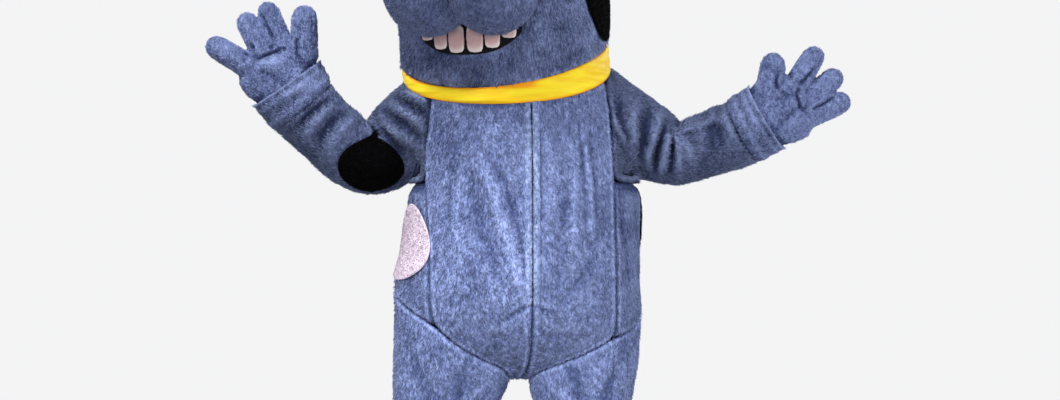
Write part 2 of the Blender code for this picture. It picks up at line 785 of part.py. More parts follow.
def capsule_rows(start, end, radius_start, radius_end, sides):
    """Rings of a rounded tube from one point to another."""
    axis = (end - start).normalized()
    across = axis.cross(Vector((0, 1, 0))).normalized()
    deep = axis.cross(across).normalized()
    rings = []
    for place, radius, tips in ((start, radius_start, (-75, -45, 0)), (end, radius_end, (0, 35, 62, 82))):
        for tip in tips:
            lift = math.sin(math.radians(tip)) * radius
            r = math.cos(math.radians(tip)) * radius
            rings.append([place + axis * lift + (across * math.cos(a) + deep * math.sin(a)) * r
                          for a in (2 * math.pi * c / sides for c in range(sides))])
    return rings


def palm_rows(table, thinner, longer):
    """Rings of a palm, with its wrist end moved out by a length."""
    rings = []
    sides = HAND_SIDES + 2
    for i, row in enumerate(table):
        middle = Vector((row.x, row.y, row.z))
        after = table[min(i + 1, len(table) - 1)]
        before = table[max(i - 1, 0)]
        axis = Vector((after.x - before.x, after.y - before.y, after.z - before.z)).normalized()
        across = axis.cross(Vector((0, 1, 0))).normalized()
        deep = axis.cross(across).normalized()
        if i == 0:
            middle = middle - axis * longer
        if i == len(table) - 1:
            middle = middle - axis * thinner
        rings.append([middle + across * math.cos(a) * (row.across - thinner)
                      + deep * math.sin(a) * (row.deep - thinner)
                      for a in (2 * math.pi * c / sides for c in range(sides))])
    return rings


def glove(side, palm, digits, mat, group, cutters):
    """Hollow glove: the palm with its digits, less the same forms one cloth thickness inside."""
    name = "glove_" + side
    outer = add(name, closed_form(name, palm_rows(palm, 0.0, 0.0)), mat, group)
    form = palm_rows(palm, GLOVE_WALL, GLOVE_MOUTH)
    hollows = [cutter(name + "_hollow", closed_form(name, form), cutters)]
    for digit in digits:
        root = Vector((digit.root_x, digit.root_y, digit.root_z))
        tip = Vector((digit.tip_x, digit.tip_y, digit.tip_z))
        form = capsule_rows(root, tip, digit.root, digit.tip, HAND_SIDES)
        combine(outer, cutter(name + "_" + digit.name, closed_form(name, form), cutters), "UNION")
        form = capsule_rows(root, tip, digit.root - GLOVE_WALL, digit.tip - GLOVE_WALL, HAND_SIDES)
        hollows.append(cutter(name + "_" + digit.name + "_hollow", closed_form(name, form), cutters))
    for hollow in hollows:
        combine(outer, hollow, "DIFFERENCE")
    return outer


def disc(name, surface, laid, base, thickness, mat, group, squareness=2.0, egg=0.0, dome=0.0,
         rings=3, sides=20):
    """A piece that lies on a surface, made from its points moved out.

    surface(u, v, out) gives a point; laid is the middle and the half sizes in u and v; egg narrows
    the upper end.
    """
    u_middle, v_middle, u_half, v_half = laid

    def grid(level, crown):
        rows = []
        for r in range(rings):
            share = (r + 1) / rings
            line = []
            for c in range(sides):
                turn = 2 * math.pi * c / sides
                u = power(math.cos(turn), 2 / squareness)
                v = power(math.sin(turn), 2 / squareness)
                u *= 1 - egg * v
                out = level + crown * (1 - share * share)
                line.append(surface(u_middle + u_half * u * share, v_middle + v_half * v * share, out))
            rows.append(line)
        return rows
    bm = bmesh.new()
    layers = []
    for level, crown in ((base, 0.0), (base + thickness, dome)):
        verts = [[bm.verts.new(p) for p in row] for row in grid(level, crown)]
        middle = bm.verts.new(surface(u_middle, v_middle, level + crown))
        for c in range(sides):
            n = (c + 1) % sides
            bm.faces.new((middle, verts[0][c], verts[0][n]))
            for r in range(rings - 1):
                bm.faces.new((verts[r][c], verts[r + 1][c], verts[r + 1][n], verts[r][n]))
        layers.append(verts[-1])
    for c in range(sides):
        n = (c + 1) % sides
        bm.faces.new((layers[0][c], layers[1][c], layers[1][n], layers[0][n]))
    bmesh.ops.recalc_face_normals(bm, faces=bm.faces)
    mesh = bpy.data.meshes.new(name)
    bm.to_mesh(mesh)
    bm.free()
    return add(name, mesh, mat, group)


def ball(name, form, sign=1, grown=0.0, segments=18, levels=11):
    """An egg-shaped foam form in the head's own axes, as a mesh; sign -1 puts it on the right."""
    bm = bmesh.new()
    bmesh.ops.create_uvsphere(bm, u_segments=segments, v_segments=levels, radius=1.0)
    for vert in bm.verts:
        x, y, z = (m + (r + grown) * c for m, r, c in zip(form.middle, form.radii, vert.co))
        vert.co = head_place(x + (sign - 1) * form.middle[0], y, z)
    mesh = bpy.data.meshes.new(name)
    bm.to_mesh(mesh)
    bm.free()
    return mesh


def halve(mesh, sign):
    """Cuts a form on one side of the head along the head's middle plane, less half a seam."""
    bm = bmesh.new()
    bm.from_mesh(mesh)
    bmesh.ops.bisect_plane(bm, geom=bm.verts[:] + bm.edges[:] + bm.faces[:],
                           plane_co=head_place(sign * SEAM / 2, 0, 0),
                           plane_no=head_place(-sign, 0, 0) - head_place(0, 0, 0), clear_outer=True)
    bmesh.ops.holes_fill(bm, edges=[e for e in bm.edges if e.is_boundary])
    bmesh.ops.recalc_face_normals(bm, faces=bm.faces)
    bm.to_mesh(mesh)
    bm.free()


def strip(name, left, right, base, heights, mat, group):
    """A strip along the middle seam, between two distances from it, as high as its profile says."""
    lower, upper = [], []
    for r in range(ZIP_ROWS + 1):
        z = ZIP_TOP + (ZIP_FOOT - ZIP_TOP) * r / ZIP_ROWS
        x = read(SEAMS, "middle", z)
        low, high = [], []
        for c, height in enumerate(heights):
            angle = front_angle(x + left + (right - left) * c / (len(heights) - 1), z)
            low.append(body(angle, z, base))
            high.append(body(angle, z, base + height))
        lower.append(low)
        upper.append(high)
    return solid(name, upper, lower, mat, group)


def zip_fastener(plush, tape, metal, group):
    start = TAPE_HALF + SEAM
    end = start + WELT_WIDTH
    profile = [0.6 * WELT_HEIGHT, WELT_HEIGHT, 0.8 * WELT_HEIGHT, 0.25 * WELT_HEIGHT]
    strip("zip_tape", -TAPE_HALF, TAPE_HALF, LAID_ON, [TAPE_THICK, TAPE_THICK], tape, group)
    strip("zip_welt_left", start, end, LAID_ON, profile, plush, group)
    strip("zip_welt_right", -end, -start, LAID_ON, profile[::-1], plush, group)
    z = ZIP_TOP - SLIDER_DROP
    angle = front_angle(read(SEAMS, "middle", z), z)
    half_angle, half_height, thickness = SLIDER
    disc("zip_slider", body, (angle, z, half_angle, half_height), LAID_ON + TAPE_THICK + SEAM, thickness,
         metal, group, squareness=6.0, rings=1, sides=12)


def neck_band(mat, group):
    """Stretch band round the neck, over the suit's neckline and the head's lower edge."""
    def middle_line(share, angle):
        low, high = tilt(BAND_LOW, angle), tilt(BAND_HIGH, angle)
        z = low + (high - low) * share
        cover = head(angle - HEAD_TURN, z, BAND_OVER_HEAD)
        if share == 1.0:
            return cover
        if share == 0.0:
            off = math.remainder(angle - seam_angle("middle", z), 2 * math.pi) / ZIP_LIFT_ANGLE
            start, full = SHOULDER_LIFT
            lift = max(math.exp(-off * off), ease((abs(math.sin(angle)) - start) / (full - start)))
            return body(angle, z, BAND_SEAT + (BAND_STANDOFF - BAND_SEAT) * lift)
        suit = body(angle, z, BAND_STANDOFF)
        return max(suit, cover, key=lambda p: math.hypot(p.x - HEAD_X, p.y))
    rows = []
    for share in (1.0, 0.65, 0.33, 0.0):
        rows.append([middle_line(share, 2 * math.pi * c / BAND_SIDES) for c in range(BAND_SIDES)])
    normals = normals_of(rows)
    inner = rows
    outer = [[p + n * SATIN for p, n in zip(row, facing)] for row, facing in zip(rows, normals)]
    return solid("neck_band", outer, inner, mat, group, ring=True)


def mouth_low(angle):
    share = abs(angle) / MOUTH_HALF
    return MOUTH_CENTRE_Z + (MOUTH_CORNER_Z - MOUTH_CENTRE_Z) * share ** MOUTH_CURVE


def mouth(felt, tooth_cloth, group):
    """Dark felt mouth under the muzzle, with a row of plain rounded teeth laid on it."""
    grids = []
    for out in (LAID_ON, LAID_ON + FELT):
        rows = []
        for r in range(3):
            line = []
            for c in range(MOUTH_COLUMNS + 1):
                angle = -MOUTH_HALF + 2 * MOUTH_HALF * c / MOUTH_COLUMNS
                low = mouth_low(angle)
                line.append(head(angle, MOUTH_TOP_Z + (low - MOUTH_TOP_Z) * r / 2, out))
            rows.append(line)
        grids.append(rows)
    solid("mouth", grids[1], grids[0], felt, group)
    pitch = 2 * (MOUTH_HALF - TOOTH_MARGIN) / TEETH
    for i in range(TEETH):
        angle = pitch * (i - (TEETH - 1) / 2)
        low = mouth_low(abs(angle) + pitch * 0.35) + 0.005
        middle = (MOUTH_TOP_Z + low) / 2
        disc("tooth_%d" % (i + 1), head, (angle, middle, pitch * 0.44, (MOUTH_TOP_Z - low) / 2),
             LAID_ON + FELT + SEAM, TOOTH_THICK, tooth_cloth, group, squareness=4.0, rings=1, sides=12)


def mouth_room():
    """The space of the mouth and its teeth, which the muzzle pads stay clear of."""
    grids = []
    for out in (-0.004, LAID_ON + FELT + TOOTH_THICK + 3 * SEAM):
        grids.append([[head(MOUTH_HALF * 1.1 * (c / 8 - 1), z, out) for c in range(17)]
                      for z in (0.170, 0.148, 0.127, 0.106, 0.086)])
    return solid_mesh("mouth_room", grids[1], grids[0])


def build():
    for thing in list(bpy.data.objects):
        bpy.data.objects.remove(thing, do_unlink=True)
    group = bpy.data.collections.new("mascot_costume")
    cutters = bpy.data.collections.new("cutters")
    bpy.context.scene.collection.children.link(group)
    bpy.context.scene.collection.children.link(cutters)

    plush = material("blue_plush", (0.115, 0.160, 0.330), 0.9)
    black = material("black_plush", (0.004, 0.004, 0.005), 0.9)
    pink = material("pink_plush", (0.68, 0.55, 0.70), 0.9)
    satin = material("yellow_satin", (0.93, 0.62, 0.02), 0.4)
    felt = material("dark_felt", (0.010, 0.010, 0.015), 0.9)
    enamel = material("tooth_cloth", (0.70, 0.47, 0.48), 0.7)
    white = material("eye_white", (0.80, 0.80, 0.78), 0.4)
    gloss = material("nose_black", (0.010, 0.010, 0.012), 0.35)
    metal = material("zip_metal", (0.25, 0.26, 0.28), 0.35, 1.0)

    for side, arm, folds, leg_table, palm, digits in (
            ("right", ARM_RIGHT, FOLDS_RIGHT, LEG_RIGHT, PALM_RIGHT, DIGITS_RIGHT),
            ("left", ARM_LEFT, FOLDS_LEFT, LEG_LEFT, PALM_LEFT, DIGITS_LEFT)):
        front_panel(side, plush, group)
        side_panel(side, plush, group)
        sleeve(side, arm, folds, plush, group)
        cuff(side, arm, plush, group)
        leg(side, leg_table, plush, group)
        glove(side, palm, digits, plush, group, cutters)
    back_panel(plush, group)
    zip_fastener(plush, felt, metal, group)
    neck_band(satin, group)

    rows = head_rows(0.0)
    normals = normals_of(rows)
    solid("head_shell", rows, behind(rows, normals, HEAD_WALL), plush, group, ring=True, closed_end=True)
    head_form = cutter("head_form", closed_form("head_form", head_rows(PIECE_CLEAR)), cutters)
    mouth(felt, enamel, group)
    room = cutter("mouth_room", mouth_room(), cutters)
    nose = add("nose", ball("nose", NOSE, segments=16, levels=9), gloss, group)
    for side, sign in (("right", -1), ("left", 1)):
        name = "muzzle_" + side
        pad = add(name, ball(name, PAD, sign), plush, group)
        halve(pad.data, sign)
        combine(pad, head_form, "DIFFERENCE")
        combine(pad, room, "DIFFERENCE")
        around = cutter(name + "_form", ball(name + "_form", PAD, sign, PIECE_CLEAR), cutters)
        combine(nose, around, "DIFFERENCE")
        eye = EYE._replace(angle=sign * EYE.angle)
        disc("eye_" + side, head, eye, LAID_ON, FELT, white, group, dome=EYE_DOME, sides=16)
        pupil = PUPIL._replace(angle=sign * PUPIL.angle)
        disc("pupil_" + side, head, pupil, PUPIL_OUT, FELT, gloss, group, rings=1, sides=12)
        name = "ear_" + side
        ear = add(name, ball(name, EAR, sign, segments=16, levels=9), plush, group)
        combine(ear, head_form, "DIFFERENCE")

    disc("patch_head", head, PATCH_HEAD, PATCH_CLEAR, FELT, black, group, egg=-0.25)
    disc("patch_hip", body, PATCH_HIP, PATCH_CLEAR, FELT, pink, group, egg=0.28)
    disc("patch_flank", body, PATCH_FLANK, FLANK_CLEAR, FELT, black, group)
    disc("patch_elbow", lambda u, v, out: arm_point(ARM_RIGHT, [], u, v, out), PATCH_ELBOW, ELBOW_CLEAR,
         FELT, black, group, rings=4, sides=20)


build()
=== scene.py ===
"""Looks of an animal mascot costume as it is worn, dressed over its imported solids.

Metres, +Z up, the front faces -Y and the wearer's right is at -X.
"""
import math
from collections import namedtuple

import bmesh
import bpy
import numpy as np
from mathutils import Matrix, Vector, noise
from mathutils.bvhtree import BVHTree
from mathutils.kdtree import KDTree


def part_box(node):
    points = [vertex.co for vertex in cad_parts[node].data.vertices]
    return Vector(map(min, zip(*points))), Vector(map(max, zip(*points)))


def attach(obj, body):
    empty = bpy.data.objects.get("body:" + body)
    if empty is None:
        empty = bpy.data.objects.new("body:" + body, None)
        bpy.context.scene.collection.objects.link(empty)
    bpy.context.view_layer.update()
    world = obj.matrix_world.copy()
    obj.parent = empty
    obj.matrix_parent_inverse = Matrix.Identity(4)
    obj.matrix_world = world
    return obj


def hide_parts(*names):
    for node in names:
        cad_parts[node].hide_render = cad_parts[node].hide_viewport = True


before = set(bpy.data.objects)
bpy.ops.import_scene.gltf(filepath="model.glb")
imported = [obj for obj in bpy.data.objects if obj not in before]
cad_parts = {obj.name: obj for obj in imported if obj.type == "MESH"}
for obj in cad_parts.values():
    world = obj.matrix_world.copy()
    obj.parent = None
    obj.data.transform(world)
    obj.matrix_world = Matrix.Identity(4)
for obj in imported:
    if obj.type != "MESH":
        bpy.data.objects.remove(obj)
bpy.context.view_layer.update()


# Front panels of the suit
# Two panels of short-pile plush, sewn to each other in the middle seam that holds the zip. Each is cut
# whole from the neckline to the crotch, so the pile lies downwards all over them. Soft drag folds run
# from the chest to the foot of the zip, and the cloth turns in at each seam.
PLUSH = 0.003
RIM_ANGLE = math.radians(60)
SEAM_WIDTH = 0.007
SEAM_DEPTH = 0.0028
ROLL_AT, ROLL_WIDTH = 1.5, 0.5
SUIT_MIDDLE = (0.0, 0.0, -0.3)
BLUE_DARK = (0.046, 0.068, 0.180)
BLUE_LIGHT = (0.370, 0.455, 0.800)

# Lumps a metre in the colour of plush, and how much painted light at tuft tips and painted shading of folds
# and seams change it
CLUMPS, FLECKS, PATCHES = 100.0, 270.0, 9.0
TIP_PAINTED_LIGHT, FOLD_PAINTED_SHADING = 0.26, 0.45

# Slow waves of slack cloth, a metre, how a lift of the cloth counts as a fold in its painted shading, and the
# least and most of that painted shading
SLACK_COARSE, SLACK_FINE = 14.0, 33.0
FOLD_HEIGHT = 0.0085
FOLD_LEAST, FOLD_MOST = -1.5, 1.1

# Tufts: the waves a metre in which they part, and how far they stray, vary in size and sit in the cloth
PARTING_COARSE, PARTING_FINE = 75.0, 190.0
PARTING_SEED = 5
TUFT_STRAY = 0.20
TUFT_VARIES, ROOT_VARIES = 0.3, 0.2
TUFT_SUNK = 0.0004

# The pile parts in the same waves each time
noise.seed_set(PARTING_SEED)


class Socket:
    """A socket of a material's nodes, so that shader maths reads as an expression."""

    def __init__(self, finish, link):
        self.finish = finish
        self.link = link

    def maths(self, operation, first, second):
        return self.finish.node("Math", {"operation": operation}, {0: first, 1: second})

    def __add__(self, other):
        return self.maths("ADD", self, other)

    def __sub__(self, other):
        return self.maths("SUBTRACT", self, other)

    def __mul__(self, other):
        return self.maths("MULTIPLY", self, other)

    def between(self, low, high):
        """0 at the low value and 1 at the high one, with a soft start and end."""
        settings = {"interpolation_type": "SMOOTHSTEP"}
        return self.finish.node("MapRange", settings, {"Value": self, "From Min": low, "From Max": high})


class Finish:
    """A material that is being built round its Principled shader."""

    def __init__(self, name, roughness, **uniform):
        self.material = bpy.data.materials.new(name)
        self.material.use_nodes = True
        self.tree = self.material.node_tree
        self.shader = self.tree.nodes["Principled BSDF"]
        self.shader.inputs["Roughness"].default_value = roughness
        for key, value in uniform.items():
            self.shader.inputs[key.replace("_", " ")].default_value = value
        self.place = self.node("TexCoord", {}, {}, "Object")

    def node(self, kind, settings, sockets, out=0):
        made = self.tree.nodes.new("ShaderNode" + kind)
        for key, value in settings.items():
            setattr(made, key, value)
        for key, value in sockets.items():
            self.feed(made.inputs[key], value)
        return Socket(self, made.outputs[out])

    def feed(self, socket, value):
        if isinstance(value, Socket):
            self.tree.links.new(value.link, socket)
        else:
            socket.default_value = value

    def grain(self, scale, detail=2.0, place=None):
        """Soft noise from 0 to 1, with about so many lumps a metre."""
        return self.node("TexNoise", {}, {"Vector": place or self.place, "Scale": scale, "Detail": detail})

    def stretched(self, x, y, z):
        """The place on the piece with its axes scaled, for grain that is longer one way."""
        return self.node("VectorMath", {"operation": "MULTIPLY"}, {0: self.place, 1: (x, y, z)})

    def carried(self, name):
        """A value that the mesh carries at its points."""
        return self.node("Attribute", {"attribute_name": name}, {}, "Fac")

    def blend(self, first, second, share):
        """A colour between two colours."""
        return self.node("Mix", {"data_type": "RGBA"}, {0: share, 6: first, 7: second}, 2)

    def colour(self, value):
        self.feed(self.shader.inputs["Base Color"], value)

    def relief(self, height, depth, strength=1.0):
        bump = self.node("Bump", {}, {"Height": height, "Distance": depth, "Strength": strength})
        self.feed(self.shader.inputs["Normal"], bump)


def shade(colour, painted_light_tone=1.0):
    return (*(min(part * painted_light_tone, 1.0) for part in colour), 1.0)


def plush_finish(name, dark, light, painted_light_tone=1.0, sheen=0.12, tint=(0.75, 0.82, 1.0), shine=0.12):
    """Short pile: tufts with painted light at their tips and painted shade at their roots, with painted shade
    in folds and seams and painted highlight on ridges.
    """
    finish = Finish(name, 0.88, Sheen_Weight=sheen, Sheen_Roughness=0.45, Sheen_Tint=shade(tint),
                    Specular_IOR_Level=shine)
    clumps = finish.grain(CLUMPS, 3.0, finish.stretched(1.0, 1.0, 0.6))
    flecks = finish.grain(FLECKS, 2.0, finish.stretched(1.0, 1.0, 0.5))
    patches = finish.grain(PATCHES)
    mottle_and_painted_light = clumps * 0.75 + flecks * 0.70 + patches * 0.22 - 0.45
    # Painted light at the tuft tips, and the painted shade and highlight of folds, mixed into the mottled
    # colour
    mottle_and_painted_light = mottle_and_painted_light + finish.carried("painted_tip_light") * TIP_PAINTED_LIGHT + finish.carried("painted_fold_shading") * FOLD_PAINTED_SHADING
    finish.colour(finish.blend(shade(dark, painted_light_tone), shade(light, painted_light_tone), mottle_and_painted_light.between(0.05, 0.95)))
    finish.relief(clumps * 0.6 + flecks * 0.4, 0.004, 0.6)
    return finish.material


# The same blue plush at a painted light tone: darker copies stand in for pieces in shade, lighter ones for
# pieces in light
def blue_plush(name, painted_light_tone=1.0):
    return plush_finish(name, BLUE_DARK, BLUE_LIGHT, painted_light_tone)


def points_of(mesh):
    places = np.empty(len(mesh.vertices) * 3, np.float32)
    mesh.vertices.foreach_get("co", places)
    return places.reshape(-1, 3).astype(float)


def normals_of(mesh):
    ways = np.empty(len(mesh.vertices) * 3, np.float32)
    mesh.vertex_normals.foreach_get("vector", ways)
    return ways.reshape(-1, 3).astype(float)


def put_points(mesh, points):
    mesh.vertices.foreach_set("co", points.astype(np.float32).ravel())
    mesh.update()


def carry(mesh, name, values):
    """Gives each point of a mesh a value for its material."""
    mesh.attributes.new(name, "FLOAT", "POINT").data.foreach_set("value", values.astype(np.float32))


def values_of(mesh, name):
    values = np.empty(len(mesh.vertices), np.float32)
    mesh.attributes[name].data.foreach_get("value", values)
    return values


def unit(vectors):
    return vectors / np.maximum(np.linalg.norm(vectors, axis=1, keepdims=True), 1e-9)


def placed(name, data):
    """An object with some data, in the scene."""
    ob = bpy.data.objects.new(name, data)
    bpy.context.scene.collection.objects.link(ob)
    return ob


def solid_of(node):
    bm = bmesh.new()
    bm.from_mesh(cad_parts[node].data)
    bmesh.ops.remove_doubles(bm, verts=bm.verts, dist=1e-5)
    return bm


def solid_tree(node):
    """The faces of a node's solid, to measure from."""
    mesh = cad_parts[node].data
    return BVHTree.FromPolygons([v.co for v in mesh.vertices], [tuple(f.vertices) for f in mesh.polygons])


def near_box(points, node, reach):
    """Which points lie within a reach of a node's box."""
    low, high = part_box(node)
    return (points > np.array(low) - reach).all(1) & (points < np.array(high) + reach).all(1)


def walls(bm, rim_width):
    """The faces in groups, parted at the sharp outer edges of a wall's rim and at its narrow faces."""
    left = {f for f in bm.faces if min(e.calc_length() for e in f.edges) > rim_width}
    found = []
    while left:
        todo = [left.pop()]
        group = []
        while todo:
            face = todo.pop()
            group.append(face)
            for edge in face.edges:
                if len(edge.link_faces) == 2 and edge.calc_face_angle_signed() < RIM_ANGLE:
                    for other in edge.link_faces:
                        if other in left:
                            left.remove(other)
                            todo.append(other)
        found.append(group)
    return found


def outer_side(node, inside, rim_width=0.0):
    """The side of a cloth wall that looks away from a place inside it, with its triangles joined."""
    bm = solid_of(node)

    def facing(group):
        return sum(f.calc_area() * f.normal.dot(f.calc_center_median() - Vector(inside)) for f in group)
    keep = set(max(walls(bm, rim_width), key=facing))
    bmesh.ops.delete(bm, geom=[f for f in bm.faces if f not in keep], context="FACES")
    bmesh.ops.join_triangles(bm, faces=bm.faces[:], angle_face_threshold=0.7, angle_shape_threshold=1.4)
    return bm


def piece(name, bm, *steps):
    """A mesh object from a bmesh, with modifiers given as (type, settings) applied in order."""
    mesh = bpy.data.meshes.new(name)
    bm.to_mesh(mesh)
    bm.free()
    ob = placed(name, mesh)
    for kind, settings in steps:
        step = ob.modifiers.new(kind.lower(), kind)
        for key, value in settings.items():
            setattr(step, key, value)
    if steps:
        bpy.context.view_layer.update()
        made = bpy.data.meshes.new_from_object(ob.evaluated_get(bpy.context.evaluated_depsgraph_get()))
        ob.modifiers.clear()
        ob.data = made
        bpy.data.meshes.remove(mesh)
        made.name = name
    ob.data.shade_smooth()
    return ob


def smoother(levels):
    return ("SUBSURF", {"levels": levels, "render_levels": levels, "boundary_smooth": "PRESERVE_CORNERS"})


def edge_distance(mesh):
    """How far each point of an open mesh lies from its nearest edge."""
    bm = bmesh.new()
    bm.from_mesh(mesh)
    border = [v.co.copy() for v in bm.verts if v.is_boundary]
    tree = KDTree(len(border))
    for i, co in enumerate(border):
        tree.insert(co, i)
    tree.balance()
    away = np.array([tree.find(v.co)[2] for v in bm.verts])
    bm.free()
    return away


def ease(share):
    share = np.clip(share, 0.0, 1.0)
    return share * share * (3 - 2 * share)


# A crease runs on a smooth line through three places near the cloth. A minus height is a trough
Crease = namedtuple("Crease", "start middle end height width")
CREASE_STEPS = 41


def creased(mesh, creases):
    """How far the given creases lift each point of a mesh along its normal."""
    points = points_of(mesh)
    tree = BVHTree.FromPolygons([Vector(p) for p in points], [tuple(f.vertices) for f in mesh.polygons])
    lift = np.zeros(len(points))
    for crease in creases:
        start, middle, end = (np.array(p) for p in (crease.start, crease.middle, crease.end))
        shares = np.linspace(0, 1, CREASE_STEPS)[:, None]
        bend = 2 * middle - (start + end) / 2
        line = start * (1 - shares) ** 2 + bend * 2 * shares * (1 - shares) + end * shares ** 2
        line = np.array([tree.find_nearest(Vector(p))[0] for p in line])
        best = np.full(len(points), 1e9)
        along = np.zeros(len(points))
        for share, place in zip(shares[:, 0], line):
            away = np.linalg.norm(points - place, axis=1)
            nearer = away < best
            best[nearer] = away[nearer]
            along[nearer] = share
        taper = np.sin(np.pi * np.clip(along, 0.04, 0.96)) ** 0.6
        lift += crease.height * np.exp(-(best / crease.width) ** 2) * taper
    return lift


def beside(points, nodes, reach):
    """1 where points touch one of the nodes' solids, fading to 0 at a reach from them."""
    near = np.zeros(len(points))
    for node in nodes:
        tree = solid_tree(node)
        for i in np.nonzero(near_box(points, node, reach))[0]:
            away = tree.find_nearest(Vector(points[i]), reach)[3]
            if away is not None:
                near[i] = max(near[i], 1 - away / reach)
    return near


# At an end of a piece, past a place and towards a way, its edge is turned in by a share of the seam
End = namedtuple("End", "place way share")


def worked(ob, creases=(), wave=0.0022, seam=SEAM_DEPTH, seam_width=SEAM_WIDTH, ends=(), painted_shade_beside=(),
           painted_shade_reach=0.012):
    """Shapes a piece of cloth: its creases, slow waves of slack cloth, and its edges turned in.

    Beside an edge the cloth swells in a low roll. The points keep a painted shading for their material:
    painted shade in troughs, at turned-in seams and beside the nodes given for it, and painted highlight on
    ridges and rolls.
    """
    mesh = ob.data
    points = points_of(mesh)
    lift = creased(mesh, creases) if creases else np.zeros(len(points))
    slack = np.array([noise.noise(Vector(p) * SLACK_COARSE) for p in points])
    slack += 0.5 * np.array([noise.noise(Vector(p) * SLACK_FINE) for p in points])
    lift += wave * slack
    # Painted shading: troughs of creases and waves get painted shade, ridges get painted highlight
    painted_fold_shading = lift / FOLD_HEIGHT
    if seam:
        away = edge_distance(mesh)
        turned = (1 - ease(away / seam_width)) ** 2
        roll = np.exp(-((away - ROLL_AT * seam_width) / (ROLL_WIDTH * seam_width)) ** 2)
        for end in ends:
            turned *= np.where((points - end.place) @ np.array(end.way) > 0, end.share, 1.0)
        lift += seam * (0.5 * roll - turned)
        # Painted highlight on the roll beside an edge, and painted shade where the edge turns in
        painted_fold_shading += 0.45 * roll - 0.9 * turned
    if painted_shade_beside:
        # Painted shade on the pile beside the given nodes, fading out at the reach
        painted_fold_shading -= 1.4 * beside(points, painted_shade_beside, painted_shade_reach) ** 1.5
    carry(mesh, "painted_fold_shading", np.clip(painted_fold_shading, FOLD_LEAST, FOLD_MOST))
    put_points(mesh, points + normals_of(mesh) * lift[:, None])


def downwards(points):
    return np.tile((0.0, 0.0, -1.0), (len(points), 1))


def pile(cloth, nap, finish, slot="blue_plush", spacing=0.0046, length=0.0085, root=0.0014, lean=0.5,
         clear_of=(), reach=0.006):
    """Tufts of pile on a piece of cloth: three-sided locks that lean along its nap."""
    mesh = cloth.data
    mesh.calc_loop_triangles()
    corners = np.empty(len(mesh.loop_triangles) * 3, np.int32)
    mesh.loop_triangles.foreach_get("vertices", corners)
    corners = corners.reshape(-1, 3)
    points, facing = points_of(mesh), normals_of(mesh)
    a, b, c = (points[corners[:, i]] for i in range(3))
    area = np.linalg.norm(np.cross(b - a, c - a), axis=1) / 2
    draw = np.random.default_rng(len(points))
    count = int(area.sum() / spacing ** 2)
    pick = draw.choice(len(area), count, p=area / area.sum())
    u, v = draw.random((2, count, 1))
    u, v = np.where(u + v > 1, 1 - u, u), np.where(u + v > 1, 1 - v, v)
    place = a[pick] + u * (b[pick] - a[pick]) + v * (c[pick] - a[pick])
    out = [facing[corners[pick, i]] for i in range(3)]
    out = unit(out[0] * (1 - u - v) + out[1] * u + out[2] * v)
    keep = np.ones(count, bool)
    for node in clear_of:
        tree = solid_tree(node)
        for i in np.nonzero(keep & near_box(place, node, reach))[0]:
            keep[i] = tree.find_nearest(Vector(place[i]), reach)[0] is None
    # Each tuft takes the painted shading of its place, and tufts in troughs are also shorter
    painted_fold_shading = values_of(mesh, "painted_fold_shading")
    tuft_painted_shading = sum(painted_fold_shading[corners[pick, i]] * share[:, 0] for i, share in enumerate((1 - u - v, u, v)))
    place, out, tuft_painted_shading = place[keep], out[keep], tuft_painted_shading[keep]
    count = len(place)
    parting = np.array([noise.noise_vector(Vector(p) * PARTING_COARSE) for p in place])
    parting += 0.6 * np.array([noise.noise_vector(Vector(p) * PARTING_FINE) for p in place])

    def varied(spread):
        return 1 - spread + 2 * spread * draw.random((count, 1))
    along = unit(nap(place)) + parting + draw.normal(0, TUFT_STRAY, (count, 3))
    along = unit(along - out * (along * out).sum(1, keepdims=True))
    growth = unit(along + out * lean * varied(TUFT_VARIES))
    side = unit(np.cross(out, growth))
    tall = length * varied(TUFT_VARIES) * (1 + 0.35 * np.minimum(tuft_painted_shading, 0))[:, None]
    wide = root * varied(ROOT_VARIES)
    lock = np.stack([place + side * wide - out * TUFT_SUNK, place - side * wide - out * TUFT_SUNK,
                     place + out * wide * 0.9 - along * wide * 0.5, place + growth * tall], axis=1)
    faces = np.array([[0, 2, 3], [2, 1, 3], [1, 0, 3]])[None] + 4 * np.arange(count)[:, None, None]
    tufts = bpy.data.meshes.new(cloth.name + "_pile")
    tufts.vertices.add(count * 4)
    tufts.vertices.foreach_set("co", lock.astype(np.float32).ravel())
    tufts.loops.add(count * 9)
    tufts.loops.foreach_set("vertex_index", faces.astype(np.int32).ravel())
    tufts.polygons.add(count * 3)
    tufts.polygons.foreach_set("loop_start", np.arange(0, count * 9, 3, dtype=np.int32))
    tufts.update(calc_edges=True)
    # Painted light: the tips are lighter, and the roots darker as painted shade
    carry(tufts, "painted_tip_light", np.tile(np.array([0.0, 0.0, 0.3, 1.0]), count))
    carry(tufts, "painted_fold_shading", np.repeat(tuft_painted_shading, 4))
    tufts.shade_smooth()
    tufts.materials.append(finish)
    ob = placed(cloth.name + "_pile", tufts)
    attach(ob, "root")
    return ob


def finished(ob, node, finish):
    """Gives a piece its material and its body, and puts it in place of its solid."""
    ob.data.materials.clear()
    ob.data.materials.append(finish)
    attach(ob, "root")
    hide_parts(node)


def cloth_wall(ob, thickness):
    """The thickness of a cloth, inwards from its shown side."""
    wall = ob.modifiers.new("thickness", "SOLIDIFY")
    wall.thickness = thickness
    wall.offset = -1.0


def dressed(node, levels, flat, creases, nap, finish, slot="blue_plush", inside=SUIT_MIDDLE, held="hung",
            area=None, rests_on=(), wave=0.0022, seam=SEAM_DEPTH, seam_width=SEAM_WIDTH, ends=(),
            painted_shade_beside=(), thickness=PLUSH, rim_width=0.0, **pile_sizes):
    """A piece of plush in place of its solid, with its pile and thickness."""
    ob = piece(node + "_cloth", outer_side(node, inside, rim_width), smoother(levels))
    worked(ob, creases, wave, seam, seam_width, ends, painted_shade_beside)
    tufts = pile(ob, nap, finish, slot, **pile_sizes)
    cloth_wall(ob, thickness)
    finished(ob, node, finish)


